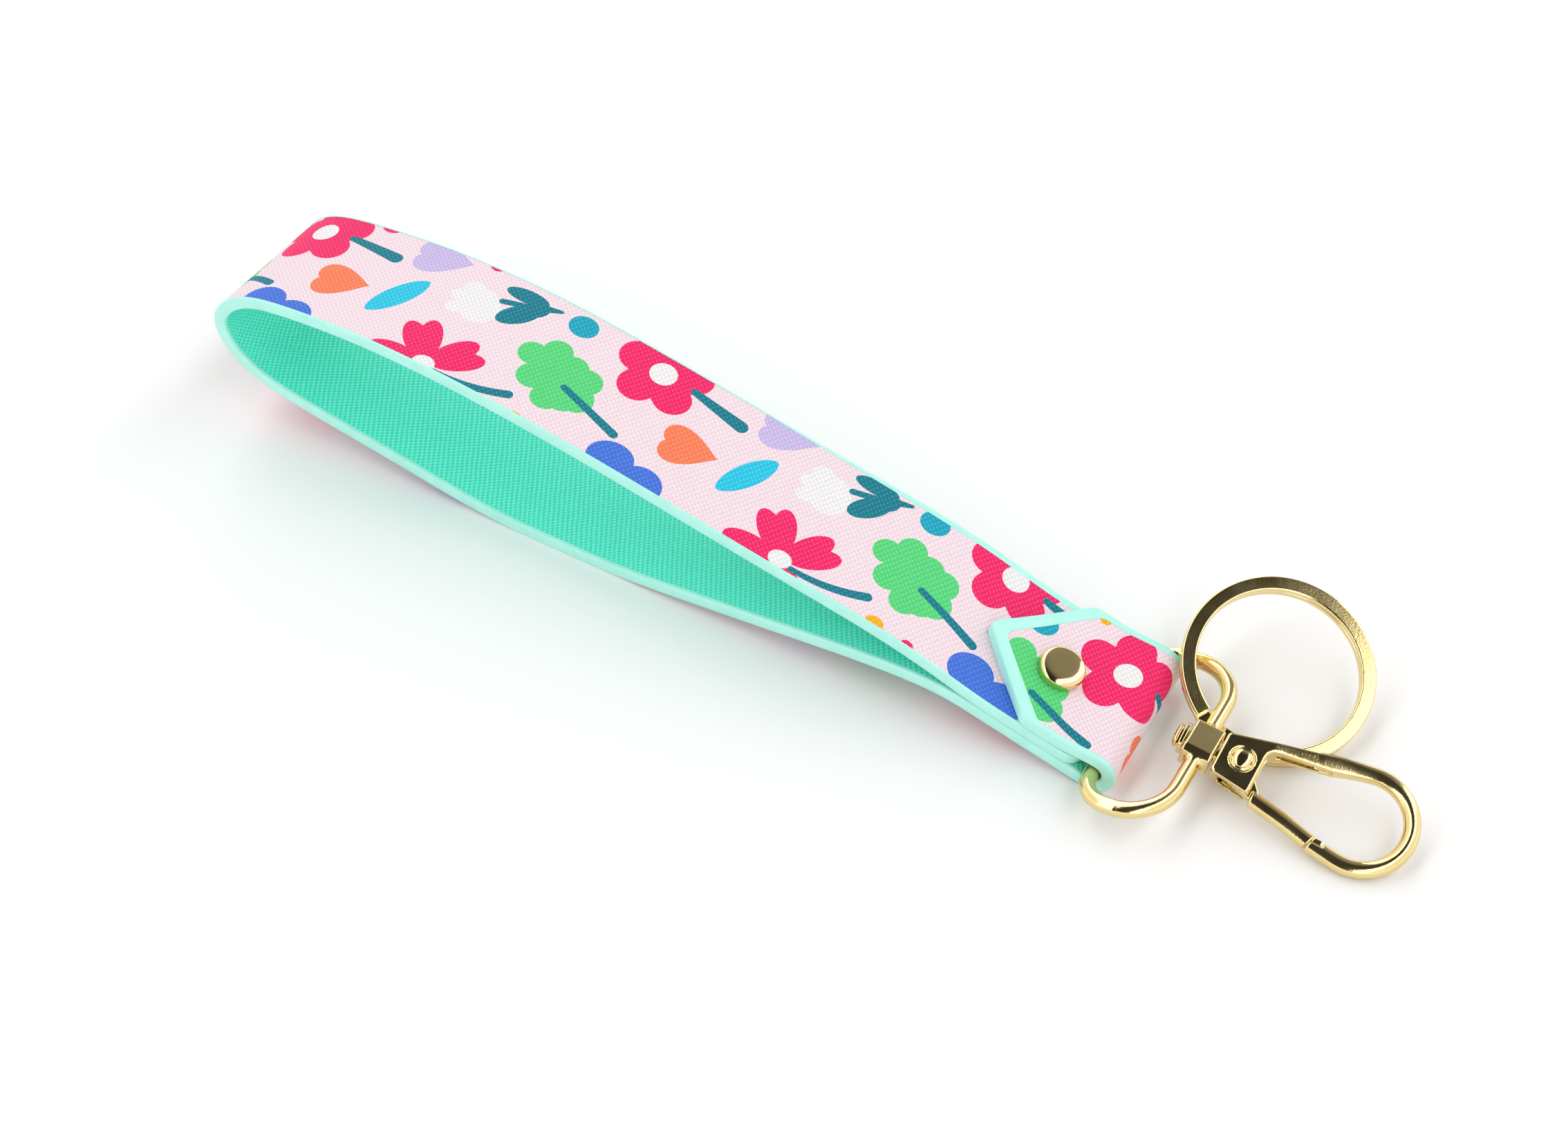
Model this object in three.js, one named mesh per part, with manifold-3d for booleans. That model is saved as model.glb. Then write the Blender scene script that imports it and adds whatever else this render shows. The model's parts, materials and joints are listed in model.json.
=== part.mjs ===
// Wristlet keychain: a laminated strap folded into a wrist loop and riveted round the bar of a
// swivel bail, a sprung gate clasp that turns in the bail's boss, and a split key ring.
// Millimetres, +Z up. X runs along the strap, from the loop's bend to the clasp; Y is its width.

import * as THREE from 'three';
import { mergeVertices } from 'three/addons/utils/BufferGeometryUtils.js';
import Module from 'manifold-3d';

const wasm = await Module();
wasm.setup();

// ---- driving dimensions ----

const STRAP_WIDTH = 28;
const OUTER_SHEET = 0.8;
const CORE_SHEET = 0.6;
const LINING_SHEET = 0.8;
const SHEET_GAP = 0.05;
const STRAP_THICKNESS = OUTER_SHEET + CORE_SHEET + LINING_SHEET + 2 * SHEET_GAP;
const PLY_GAP = 0.1;

const WIRE_RADIUS = 1.4;
const FOLD_INNER_RADIUS = 1.75;
const FOLD_RADIUS = FOLD_INNER_RADIUS + STRAP_THICKNESS;
const BAR_X = -22;
const BAR_Z = FOLD_RADIUS + 0.05;
const STACK_SLOPE = THREE.MathUtils.degToRad(14);

const FRONT_END = -2.4;
const STACK_END = -18;
const BOTTOM_STACK_END = -23.5;
const TAB_SETTLED = -8;
const TAB_TIP = -27;
const TAB_TIP_SIDE = -1.2;
const TAB_POINT_LENGTH = 12.8;
const TAB_TIP_HALF_WIDTH = 1.1;
const END_CORNER_RADIUS = 3;
const LOOP_LEAN = { from: -135, to: -188, slope: 0.06 };

const RIVET_AT = -13.1;
const RIVET_SIDE = -1.8;
const RIVET_HOLE_RADIUS = 1.65;
const POST_RADIUS = 1.3;
const POST_BORE_RADIUS = 0.95;
const POST_FLOOR = 0.4;
const POST_RECESS = 0.6;
const STUD_RADIUS = 0.65;
const STUD_START = 1.2;
const CAP_RADIUS = 4;
const CAP_HEIGHT = 1.9;
const BACK_CAP_HEIGHT = 1.1;

const BAIL_OFFSET = -1.4;
const BAIL_DEPTH = 14;
const BAIL_HALF_WIDTH = 17.85;
const NEAR_CORNER_RADIUS = 5;
const FAR_CORNER_RADIUS = 3;
const BOSS_CORNER_RADIUS = 8;
const BAIL_PITCH = THREE.MathUtils.degToRad(9.5);
const BOSS_SIZE = { length: 5, width: 7.4, height: 5.2, bevel: 0.9 };
const BOSS_BORE_RADIUS = 1.5;

const CLASP_PITCH = THREE.MathUtils.degToRad(4.9);
const CLASP_ROLL = THREE.MathUtils.degToRad(20);
const PIN_RADIUS = 1.2;
const PIN_HEAD = { radius: 2.1, height: 0.9 };
const WASHER = { radius: 2.7, thickness: 0.75 };
const HOUSING = { back: 3, front: 10.2, half: 2.6, slot: 1.3, slotBack: 4.6, slotSide: 3.4 };
const ARM_TAPER = { from: 10.7, to: 24, half: 1.2 };
const ARM_GROOVE = { length: 9.5, width: 2.2, height: 1.6, x: 16, y: 4.9, turn: 0.19 };
const HOOK = { x: 28.1, y: 0.85, radius: 8.1, bar: 1.45 };
const GATE_PIVOT = { x: 6.9, y: 0.4 };
const GATE_PIN_RADIUS = 0.85;
const PIN_GROOVE = { inner: 1.75, outer: 2.15, depth: 0.25 };
const GATE_HUB_RADIUS = 2;
const GATE_BAR_RADIUS = 1.4;
const SPRING = { radius: 1.4, wire: 0.17, turns: 2, low: 0.22, pitch: 0.4 };
const SPRING_POCKET_RADIUS = 1.75;
const SEAM_RADIUS = 17.2;
const NOSE_LAP = { length: 3.2, rise: 1.45, width: 0.8, height: 1.6 };
const MOVING_GAP = 0.3;
const RUNNING_GAP = 0.15;
const BEYOND = 15;

const RING = { x: -3.5, y: 19.4, outer: 16.5, width: 2.5, coil: 1.2 };
const RING_TILT = THREE.MathUtils.degToRad(21.5);
const RING_TILT_HEADING = THREE.MathUtils.degToRad(36.8);
const RING_CUT_ANGLE = THREE.MathUtils.degToRad(204);

// ---- materials ----

const gold = (roughness) => new THREE.MeshStandardMaterial({ color: 0xd9b04c, metalness: 1, roughness });
const printMaterial = new THREE.MeshStandardMaterial({ color: 0xf0b9cc, roughness: 0.6, metalness: 0 });
const coreMaterial = new THREE.MeshStandardMaterial({ color: 0xd9d4c8, roughness: 0.9, metalness: 0 });
const liningMaterial = new THREE.MeshStandardMaterial({ color: 0x35d6b0, roughness: 0.55, metalness: 0 });
const springMaterial = new THREE.MeshStandardMaterial({ color: 0x9a9a9a, metalness: 1, roughness: 0.35 });

// ---- solids ----

// A closed body through a row of rings of points, each ring with the same number of points.
// The rings turn anticlockwise seen from the end of the row, and closed rows join up end to end.
function loft(rings, closed = false) {
  const count = rings[0].length;
  const positions = rings.flat().flatMap((point) => [point.x, point.y, point.z]);
  const indices = [];
  const spans = closed ? rings.length : rings.length - 1;
  for (let i = 0; i < spans; i++) {
    const near = i * count;
    const far = ((i + 1) % rings.length) * count;
    for (let j = 0; j < count; j++) {
      const next = (j + 1) % count;
      indices.push(near + j, near + next, far + next);
      indices.push(near + j, far + next, far + j);
    }
  }
  if (!closed) {
    const last = (rings.length - 1) * count;
    for (let j = 1; j < count - 1; j++) {
      indices.push(0, j + 1, j);
      indices.push(last, last + j, last + j + 1);
    }
  }
  const geometry = new THREE.BufferGeometry();
  geometry.setAttribute('position', new THREE.Float32BufferAttribute(positions, 3));
  geometry.setIndex(indices);
  return geometry;
}

function toManifold(geometry) {
  const bare = geometry.clone();
  bare.deleteAttribute('normal');
  bare.deleteAttribute('uv');
  const merged = mergeVertices(bare, 1e-5);
  const vertProperties = Float32Array.from(merged.attributes.position.array);
  const triVerts = Uint32Array.from(merged.index.array);
  return new wasm.Manifold(new wasm.Mesh({ numProp: 3, vertProperties, triVerts }));
}

function fromManifold(solid) {
  const mesh = solid.getMesh();
  const geometry = new THREE.BufferGeometry();
  geometry.setAttribute('position', new THREE.BufferAttribute(mesh.vertProperties, 3));
  geometry.setIndex(new THREE.BufferAttribute(mesh.triVerts, 1));
  return geometry;
}

const union = (...geometries) => fromManifold(geometries.map(toManifold).reduce((a, b) => a.add(b)));
const cut = (geometry, ...tools) =>
  fromManifold(tools.map(toManifold).reduce((a, b) => a.subtract(b), toManifold(geometry)));
const common = (a, b) => fromManifold(toManifold(a).intersect(toManifold(b)));

function named(name, geometry, material) {
  const mesh = new THREE.Mesh(geometry, material);
  mesh.name = name;
  return mesh;
}

// A round bar between two points on the local X axis.
function barAlongX(radius, from, to, sides = 20) {
  const geometry = new THREE.CylinderGeometry(radius, radius, to - from, sides);
  return geometry.rotateZ(-Math.PI / 2).translate((from + to) / 2, 0, 0);
}

// A round bar between two heights, standing at a point.
function barAlongZ(radius, from, to, x = 0, y = 0, sides = 20) {
  const geometry = new THREE.CylinderGeometry(radius, radius, to - from, sides);
  return geometry.rotateX(Math.PI / 2).translate(x, y, (from + to) / 2);
}

// A turned body about the local Z axis, from a profile of [radius, height] pairs.
function turned(profile, sides = 28) {
  const points = profile.map(([radius, height]) => new THREE.Vector2(radius, height));
  return new THREE.LatheGeometry(points, sides).rotateX(Math.PI / 2);
}

// A block with bevelled long edges, centred on the origin.
function block(length, width, height, bevel) {
  const shape = new THREE.Shape();
  const y = width / 2;
  const z = height / 2;
  shape.moveTo(-y + bevel, -z);
  shape.lineTo(y - bevel, -z);
  shape.lineTo(y, -z + bevel);
  shape.lineTo(y, z - bevel);
  shape.lineTo(y - bevel, z);
  shape.lineTo(-y + bevel, z);
  shape.lineTo(-y, z - bevel);
  shape.lineTo(-y, -z + bevel);
  shape.closePath();
  const geometry = new THREE.ExtrudeGeometry(shape, { depth: length, bevelEnabled: false });
  return geometry.translate(0, 0, -length / 2).rotateX(Math.PI / 2).rotateZ(Math.PI / 2);
}

// A round bar that follows a flat curve in the XY plane.
function bentBar(points, radius, sides, closed = false) {
  const rings = points.map((point, i) => {
    const before = points[closed ? (i - 1 + points.length) % points.length : Math.max(i - 1, 0)];
    const after = points[closed ? (i + 1) % points.length : Math.min(i + 1, points.length - 1)];
    const along = after.clone().sub(before).normalize();
    const across = new THREE.Vector3(-along.y, along.x, 0);
    return Array.from({ length: sides }, (_, k) => {
      const turn = (2 * Math.PI * (k + 0.5)) / sides;
      return point.clone()
        .addScaledVector(across, radius * Math.cos(turn))
        .add(new THREE.Vector3(0, 0, radius * Math.sin(turn)));
    });
  });
  return loft(rings, closed);
}

function arcPoints(x, y, radius, from, to, steps) {
  return Array.from({ length: steps + 1 }, (_, i) => {
    const angle = from + ((to - from) * i) / steps;
    return new THREE.Vector3(x + radius * Math.cos(angle), y + radius * Math.sin(angle), 0);
  });
}

// ---- strap: the path of its printed face, from the front end round to the tip of the tab ----

const stackAlong = new THREE.Vector2(Math.cos(STACK_SLOPE), -Math.sin(STACK_SLOPE));
const stackUp = new THREE.Vector2(Math.sin(STACK_SLOPE), Math.cos(STACK_SLOPE));
const barCentre = new THREE.Vector2(BAR_X, BAR_Z);

// A point of the riveted stack, from its distance along the stack and above the bar's centre.
const stackPoint = (along, up) =>
  barCentre.clone().addScaledVector(stackAlong, along).addScaledVector(stackUp, up);

const frontHeight = 2 * STRAP_THICKNESS + PLY_GAP - FOLD_RADIUS;
const frontRun = [stackPoint(FRONT_END, frontHeight), stackPoint(STACK_END, frontHeight)];
const bottomRun = [stackPoint(BOTTOM_STACK_END, -FOLD_RADIUS), stackPoint(0, -FOLD_RADIUS)];

const upperLoop = [
  [-53, 13.6], [-78, 19.3], [-112, 25.9], [-140, 30.4], [-163, 31.9], [-180, 30.9], [-191.1, 27.4],
  [-195.7, 20.3], [-191.9, 12.5], [-181, 7.8], [-160, 4.0], [-143, 1.0],
];
const restingRun = [new THREE.Vector2(-130, 0), new THREE.Vector2(-118, 0)];
const lowerLoop = [[-100, 1.5], [-78, 4.4], [-60, 6.5]];

const toPoints = (pairs) => pairs.map(([x, z]) => new THREE.Vector3(x, 0, z));
const flatten = (points) => points.map((point) => new THREE.Vector2(point.x, point.z));

// Points along a smooth curve that starts and ends along two straight runs.
function smoothRun(start, middle, end, steps) {
  const lead = (run, from, to) => run[to].clone().sub(run[from]).normalize().multiplyScalar(0.01);
  const startLead = start[1].clone().sub(lead(start, 0, 1));
  const endLead = end[0].clone().add(lead(end, 0, 1));
  const knots = [startLead, start[1]].map((p) => [p.x, p.y])
    .concat(middle, [end[0], endLead].map((p) => [p.x, p.y]));
  const curve = new THREE.CatmullRomCurve3(toPoints(knots), false, 'centripetal');
  return flatten(curve.getSpacedPoints(steps)).slice(1, -1);
}

function subdivide(run, steps) {
  return Array.from({ length: steps + 1 }, (_, i) => run[0].clone().lerp(run[1], i / steps));
}

const FRONT_STEPS = 8;
const frontFace = [
  ...subdivide(frontRun, FRONT_STEPS),
  ...smoothRun(frontRun, upperLoop, restingRun, 64),
];
const bottomFace = [
  ...restingRun,
  ...smoothRun(restingRun, lowerLoop, bottomRun, 22),
  ...subdivide(bottomRun, 6),
];

const FOLD_STEPS = 14;
const foldFace = Array.from({ length: FOLD_STEPS - 1 }, (_, i) => {
  const turn = -Math.PI / 2 + (Math.PI * (i + 1)) / FOLD_STEPS;
  return stackPoint(FOLD_RADIUS * Math.cos(turn), FOLD_RADIUS * Math.sin(turn));
});

// Outward normals of a path: its heading turned a quarter turn clockwise.
function pathNormals(path) {
  return path.map((_, i) => {
    const before = path[Math.max(i - 1, 0)];
    const after = path[Math.min(i + 1, path.length - 1)];
    const along = after.clone().sub(before).normalize();
    return new THREE.Vector2(along.y, -along.x);
  });
}

// The tab lies on the front run, so its face is the front face raised by one thickness.
const frontNormals = pathNormals(frontFace);
const TAB_RISE = STRAP_THICKNESS + PLY_GAP;
const raisedFront = frontFace.map((point, i) => point.clone().addScaledVector(frontNormals[i], TAB_RISE));
const alongStack = (point) => point.clone().sub(barCentre).dot(stackAlong);
const tabStart = stackPoint(TAB_SETTLED, frontHeight + TAB_RISE);
const tabPoints = raisedFront.filter((p) => alongStack(p) < TAB_SETTLED && alongStack(p) > TAB_TIP + 0.4);
const tabBefore = raisedFront.filter((p) => alongStack(p) > TAB_TIP).pop();
const tabAfter = raisedFront.find((p) => alongStack(p) <= TAB_TIP);
const tipShare = (alongStack(tabBefore) - TAB_TIP) / (alongStack(tabBefore) - alongStack(tabAfter));
const tabEnd = tabBefore.clone().lerp(tabAfter, tipShare);
const tabFace = [stackPoint(0, FOLD_RADIUS), tabStart, ...tabPoints, tabEnd];

// Adds points to the two shaped ends, so that their outlines are smooth.
function refine(path, from, to, step) {
  const out = [path[0]];
  for (let i = 1; i < path.length; i++) {
    const inside = i > from && i <= to;
    const pieces = inside ? Math.max(1, Math.ceil(path[i].distanceTo(path[i - 1]) / step)) : 1;
    for (let k = 1; k <= pieces; k++) out.push(path[i - 1].clone().lerp(path[i], k / pieces));
  }
  return out;
}

const roughPath = [...frontFace, ...bottomFace, ...foldFace, ...tabFace];
const tabFrom = roughPath.length - tabFace.length;
const tabRefined = refine(roughPath, tabFrom, roughPath.length, 1.6);
const strapPath = refine(tabRefined, 0, 2, 0.6);
const strapNormals = pathNormals(strapPath);

const lengths = strapPath.map((point, i) => (i === 0 ? 0 : point.distanceTo(strapPath[i - 1])));
const travelled = lengths.map((_, i) => lengths.slice(0, i + 1).reduce((a, b) => a + b, 0));
const strapLength = travelled[travelled.length - 1];

// Half the strip's width: round corners at the front end, and a point at the tab's end.
function halfWidth(distance) {
  const full = STRAP_WIDTH / 2;
  const fromTip = strapLength - distance;
  if (fromTip < TAB_POINT_LENGTH) {
    return TAB_TIP_HALF_WIDTH + ((full - TAB_TIP_HALF_WIDTH) * fromTip) / TAB_POINT_LENGTH;
  }
  if (distance < END_CORNER_RADIUS) {
    const rest = END_CORNER_RADIUS - distance;
    return full - END_CORNER_RADIUS + Math.sqrt(END_CORNER_RADIUS ** 2 - rest ** 2);
  }
  return full;
}

// The tab's point lies a little to one side of the strip's middle.
function sideways(distance) {
  const fromTip = strapLength - distance;
  return TAB_TIP_SIDE * Math.max(0, 1 - fromTip / TAB_POINT_LENGTH);
}

// Towards its bend the loop leans: its far edge lies lower than its near edge.
function place(x, y, z) {
  const lean = LOOP_LEAN.slope * THREE.MathUtils.smoothstep(-x, -LOOP_LEAN.from, -LOOP_LEAN.to);
  return new THREE.Vector3(x, y, z - lean * (y + STRAP_WIDTH / 2));
}

// One sheet of the strap, between two depths below the printed face.
function sheet(shallow, deep) {
  const rings = strapPath.map((point, i) => {
    const half = halfWidth(travelled[i]);
    const side = sideways(travelled[i]);
    const top = point.clone().addScaledVector(strapNormals[i], -shallow);
    const under = point.clone().addScaledVector(strapNormals[i], -deep);
    return [
      place(top.x, side - half, top.y),
      place(top.x, side + half, top.y),
      place(under.x, side + half, under.y),
      place(under.x, side - half, under.y),
    ];
  });
  return loft(rings);
}

const rivetHole = barAlongZ(RIVET_HOLE_RADIUS, -8, 8, RIVET_AT, RIVET_SIDE, 16)
  .rotateY(STACK_SLOPE)
  .translate(BAR_X, 0, BAR_Z);
const strapSheet = (shallow, thickness) => cut(sheet(shallow, shallow + thickness), rivetHole);
const coreDepth = OUTER_SHEET + SHEET_GAP;
const liningDepth = coreDepth + CORE_SHEET + SHEET_GAP;

const strap = new THREE.Group();
strap.add(named('strap_outer', strapSheet(0, OUTER_SHEET), printMaterial));
strap.add(named('strap_core', strapSheet(coreDepth, CORE_SHEET), coreMaterial));
strap.add(named('strap_lining', strapSheet(liningDepth, LINING_SHEET), liningMaterial));

// ---- rivet: a post with a back cap, and a front cap whose stud is pressed into the post ----

const stackTop = frontHeight + TAB_RISE;
const stackBottom = -FOLD_RADIUS;
const seat = PLY_GAP;
const postTop = stackTop - POST_RECESS;

const backCap = stackBottom - seat;
const postProfile = [
  [0, backCap - BACK_CAP_HEIGHT],
  [CAP_RADIUS * 0.7, backCap - BACK_CAP_HEIGHT * 0.85],
  [CAP_RADIUS, backCap - BACK_CAP_HEIGHT * 0.4],
  [CAP_RADIUS, backCap],
  [POST_RADIUS, backCap],
  [POST_RADIUS, postTop],
  [POST_BORE_RADIUS, postTop],
  [POST_BORE_RADIUS, backCap + POST_FLOOR],
  [0, backCap + POST_FLOOR],
];

const capBase = stackTop + seat;
const capProfile = [
  [0, backCap + STUD_START],
  [STUD_RADIUS, backCap + STUD_START],
  [STUD_RADIUS, capBase],
  [CAP_RADIUS, capBase],
  [CAP_RADIUS, capBase + CAP_HEIGHT * 0.45],
  [CAP_RADIUS * 0.9, capBase + CAP_HEIGHT * 0.8],
  [CAP_RADIUS * 0.6, capBase + CAP_HEIGHT * 0.97],
  [0, capBase + CAP_HEIGHT],
];

const rivet = new THREE.Group();
rivet.position.set(BAR_X, 0, BAR_Z);
rivet.rotation.y = STACK_SLOPE;
rivet.add(named('rivet_post', turned(postProfile).translate(RIVET_AT, RIVET_SIDE, 0), gold(0.25)));
rivet.add(named('rivet_cap', turned(capProfile).translate(RIVET_AT, RIVET_SIDE, 0), gold(0.25)));

// ---- swivel bail: a wire loop with its bar in the fold, and a bored boss across from the bar ----

const QUARTER = Math.PI / 2;
const bailLoop = [
  ...arcPoints(NEAR_CORNER_RADIUS, -BAIL_HALF_WIDTH + NEAR_CORNER_RADIUS, NEAR_CORNER_RADIUS,
    -2 * QUARTER, -QUARTER, 6),
  ...arcPoints(BAIL_DEPTH - BOSS_CORNER_RADIUS, -BAIL_HALF_WIDTH + BOSS_CORNER_RADIUS, BOSS_CORNER_RADIUS,
    -QUARTER, 0, 8),
  ...arcPoints(BAIL_DEPTH - BOSS_CORNER_RADIUS, BAIL_HALF_WIDTH - BOSS_CORNER_RADIUS, BOSS_CORNER_RADIUS,
    0, QUARTER, 8),
  ...arcPoints(FAR_CORNER_RADIUS, BAIL_HALF_WIDTH - FAR_CORNER_RADIUS, FAR_CORNER_RADIUS,
    QUARTER, 2 * QUARTER, 5),
];

const bail = new THREE.Group();
bail.position.set(BAR_X, BAIL_OFFSET, BAR_Z);
bail.rotation.y = -BAIL_PITCH;
const bossTilt = BAIL_PITCH + CLASP_PITCH;
const boss = block(BOSS_SIZE.length, BOSS_SIZE.width, BOSS_SIZE.height, BOSS_SIZE.bevel)
  .rotateY(bossTilt)
  .translate(BAIL_DEPTH, 0, 0);
const bossBore = barAlongX(BOSS_BORE_RADIUS, -BOSS_SIZE.length, BOSS_SIZE.length)
  .rotateY(bossTilt)
  .translate(BAIL_DEPTH, 0, 0);
const bailBody = cut(union(bentBar(bailLoop, WIRE_RADIUS, 12, true), boss), bossBore);
bail.add(named('swivel_bail', bailBody, gold(0.2)));

// ---- clasp: its own frame has X along the swivel pin, from the boss's centre towards the hook ----

const claspAxis = new THREE.Group();
claspAxis.position.set(BAIL_DEPTH, 0, 0);
claspAxis.rotation.y = bossTilt;
const clasp = new THREE.Group();
clasp.rotation.x = CLASP_ROLL;
claspAxis.add(clasp);
bail.add(claspAxis);

const washerFront = -BOSS_SIZE.length / 2 - MOVING_GAP;
const washerBack = washerFront - WASHER.thickness;
const washerBody = cut(barAlongX(WASHER.radius, washerBack, washerFront),
  barAlongX(PIN_RADIUS + MOVING_GAP, washerBack - 1, washerFront + 1));
clasp.add(named('swivel_washer', washerBody, gold(0.25)));

const headFront = washerBack - MOVING_GAP;
const headBack = headFront - PIN_HEAD.height;
const pinHead = barAlongX(PIN_HEAD.radius, headBack, headFront);
const pinShaft = barAlongX(PIN_RADIUS, headBack + PIN_HEAD.height / 2, HOUSING.slotBack - MOVING_GAP);
clasp.add(named('swivel_pin', union(pinHead, pinShaft), gold(0.25)));

// Housing outline, seen from above: a block that spreads into the arm.
const housingShape = new THREE.Shape();
housingShape.moveTo(HOUSING.back, -3.1);
housingShape.lineTo(HOUSING.back + 0.6, -3.6);
housingShape.lineTo(HOUSING.front - 0.3, -4.4);
housingShape.lineTo(HOUSING.front, -3.9);
housingShape.lineTo(HOUSING.front, 2.9);
housingShape.quadraticCurveTo(HOUSING.front, 4.1, HOUSING.front + 1.4, 4.3);
housingShape.lineTo(21, 5.9);
housingShape.lineTo(21, 8.7);
housingShape.lineTo(HOUSING.front, 5.6);
housingShape.lineTo(HOUSING.back + 0.3, 3.7);
housingShape.lineTo(HOUSING.back, 3.3);
housingShape.closePath();
const housingBlank = new THREE.ExtrudeGeometry(housingShape,
  { depth: 2 * HOUSING.half, bevelEnabled: false, curveSegments: 4 }).translate(0, 0, -HOUSING.half);

// The arm thins from the housing's height to the hook's bar.
const armTaper = (side) => {
  const shape = new THREE.Shape();
  shape.moveTo(ARM_TAPER.from, side * HOUSING.half);
  shape.lineTo(ARM_TAPER.from, side * BEYOND);
  shape.lineTo(ARM_TAPER.to, side * BEYOND);
  shape.lineTo(ARM_TAPER.to, side * ARM_TAPER.half);
  shape.closePath();
  return new THREE.ExtrudeGeometry(shape, { depth: 2 * BEYOND, bevelEnabled: false })
    .rotateX(QUARTER)
    .translate(0, BEYOND, 0);
};

// The slot takes the gate's hub, and is open on the gate's side of the housing.
const slotBox = new THREE.BoxGeometry(2 * BEYOND, BEYOND, 2 * HOUSING.slot)
  .translate(HOUSING.slotBack + BEYOND, HOUSING.slotSide - BEYOND / 2, 0);
const armGroove = new THREE.BoxGeometry(ARM_GROOVE.length, ARM_GROOVE.width, ARM_GROOVE.height)
  .rotateZ(ARM_GROOVE.turn)
  .translate(ARM_GROOVE.x, ARM_GROOVE.y, 0);
const pinSeat = barAlongX(PIN_RADIUS + MOVING_GAP, HOUSING.back - 1, HOUSING.slotBack + 1);
const throughGatePivot = (radius, sides) =>
  barAlongZ(radius, -BEYOND, BEYOND, GATE_PIVOT.x, GATE_PIVOT.y, sides);
const grooveFloor = HOUSING.half - PIN_GROOVE.depth;
const pinGroove = turned([
  [PIN_GROOVE.inner, grooveFloor], [PIN_GROOVE.outer, grooveFloor],
  [PIN_GROOVE.outer, HOUSING.half + 1], [PIN_GROOVE.inner, HOUSING.half + 1],
  [PIN_GROOVE.inner, grooveFloor],
]).translate(GATE_PIVOT.x, GATE_PIVOT.y, 0);

const farArm = HOOK.y + HOOK.radius;
const nearArm = HOOK.y - HOOK.radius;
const hookLine = [
  new THREE.Vector3(18.5, farArm - 1.75, 0),
  new THREE.Vector3(22, farArm - 0.95, 0),
  new THREE.Vector3(26, farArm - 0.22, 0),
  ...arcPoints(HOOK.x, HOOK.y, HOOK.radius, QUARTER, -QUARTER, 16),
  new THREE.Vector3(26, nearArm + 0.2, 0),
  new THREE.Vector3(21.5, nearArm + 0.85, 0),
];
const SEAM_SIDES = 96;
const seamX = GATE_PIVOT.x + Math.sqrt(SEAM_RADIUS ** 2 - (nearArm - GATE_PIVOT.y) ** 2);
const nearSide = new THREE.BoxGeometry(BEYOND, BEYOND, BEYOND).translate(seamX, nearArm - BEYOND / 3, 0);
const hookCut = common(throughGatePivot(SEAM_RADIUS, SEAM_SIDES), nearSide);
const noseRecess = new THREE.BoxGeometry(NOSE_LAP.length, 2 * HOOK.bar, 3 * HOOK.bar)
  .translate(seamX + 1.2, nearArm + NOSE_LAP.rise + 0.7, 0);
const hookBar = cut(bentBar(hookLine, HOOK.bar, 14), hookCut, noseRecess);
const housingBody = cut(housingBlank, armTaper(1), armTaper(-1));
const gatePinBore = throughGatePivot(GATE_PIN_RADIUS + RUNNING_GAP, 20);
const claspBlank = cut(housingBody, slotBox, pinSeat, gatePinBore, pinGroove, armGroove);
clasp.add(named('clasp_body', union(claspBlank, hookBar), gold(0.2)));

// ---- gate: a hub between the housing's plates, and a round bar that meets the nose ----

const gateHalf = HOUSING.slot - MOVING_GAP;
const hubEnd = HOUSING.front + 1.4;
const hubShape = new THREE.Shape();
hubShape.absarc(GATE_PIVOT.x, GATE_PIVOT.y, GATE_HUB_RADIUS, 0.5, Math.PI, false);
hubShape.lineTo(GATE_PIVOT.x - 1.6, -3.2);
hubShape.lineTo(hubEnd, -4.9);
hubShape.lineTo(hubEnd, -2.9);
hubShape.closePath();
const hubExtrusion = { depth: 2 * gateHalf, bevelEnabled: false, curveSegments: 14 };
const gateHub = new THREE.ExtrudeGeometry(hubShape, hubExtrusion).translate(0, 0, -gateHalf);
const gateLine = [
  new THREE.Vector3(HOUSING.front + 0.6, -4.15, 0),
  new THREE.Vector3(HOUSING.front + 6, -5.05, 0),
  new THREE.Vector3(seamX + 2.7, nearArm + 0.25, 0),
];
const gateSeam = throughGatePivot(SEAM_RADIUS - MOVING_GAP, SEAM_SIDES);
const gateBar = common(bentBar(gateLine, GATE_BAR_RADIUS, 12), gateSeam);

// The lap is a tongue on the gate's end that rests in the nose's recess and stops the gate.
const gateLap = new THREE.BoxGeometry(NOSE_LAP.length - 0.6, NOSE_LAP.width, NOSE_LAP.height)
  .translate(seamX + 0.7, nearArm + NOSE_LAP.rise, 0);
const springPocket = barAlongZ(SPRING_POCKET_RADIUS, 0, BEYOND, GATE_PIVOT.x, GATE_PIVOT.y);
const gateBore = throughGatePivot(GATE_PIN_RADIUS + RUNNING_GAP, 20);
const gateBody = cut(union(gateHub, gateBar, gateLap), gateBore, springPocket);
clasp.add(named('gate', gateBody, gold(0.2)));

// The pin has a low head below and a peened dome on top.
const pinHeadFace = HOUSING.half + 0.1;
const pinDome = [
  [0, -HOUSING.half - 0.5], [1.3, -HOUSING.half - 0.5], [1.5, -pinHeadFace],
  [GATE_PIN_RADIUS, -pinHeadFace], [GATE_PIN_RADIUS, pinHeadFace],
  [1.55, pinHeadFace], [1.4, HOUSING.half + 0.4], [0.9, HOUSING.half + 0.65], [0, HOUSING.half + 0.75],
];
clasp.add(named('gate_pin', turned(pinDome, 20).translate(GATE_PIVOT.x, GATE_PIVOT.y, 0), gold(0.2)));

// ---- gate spring: two turns of fine wire round the gate pin, in the hub's pocket ----

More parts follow.
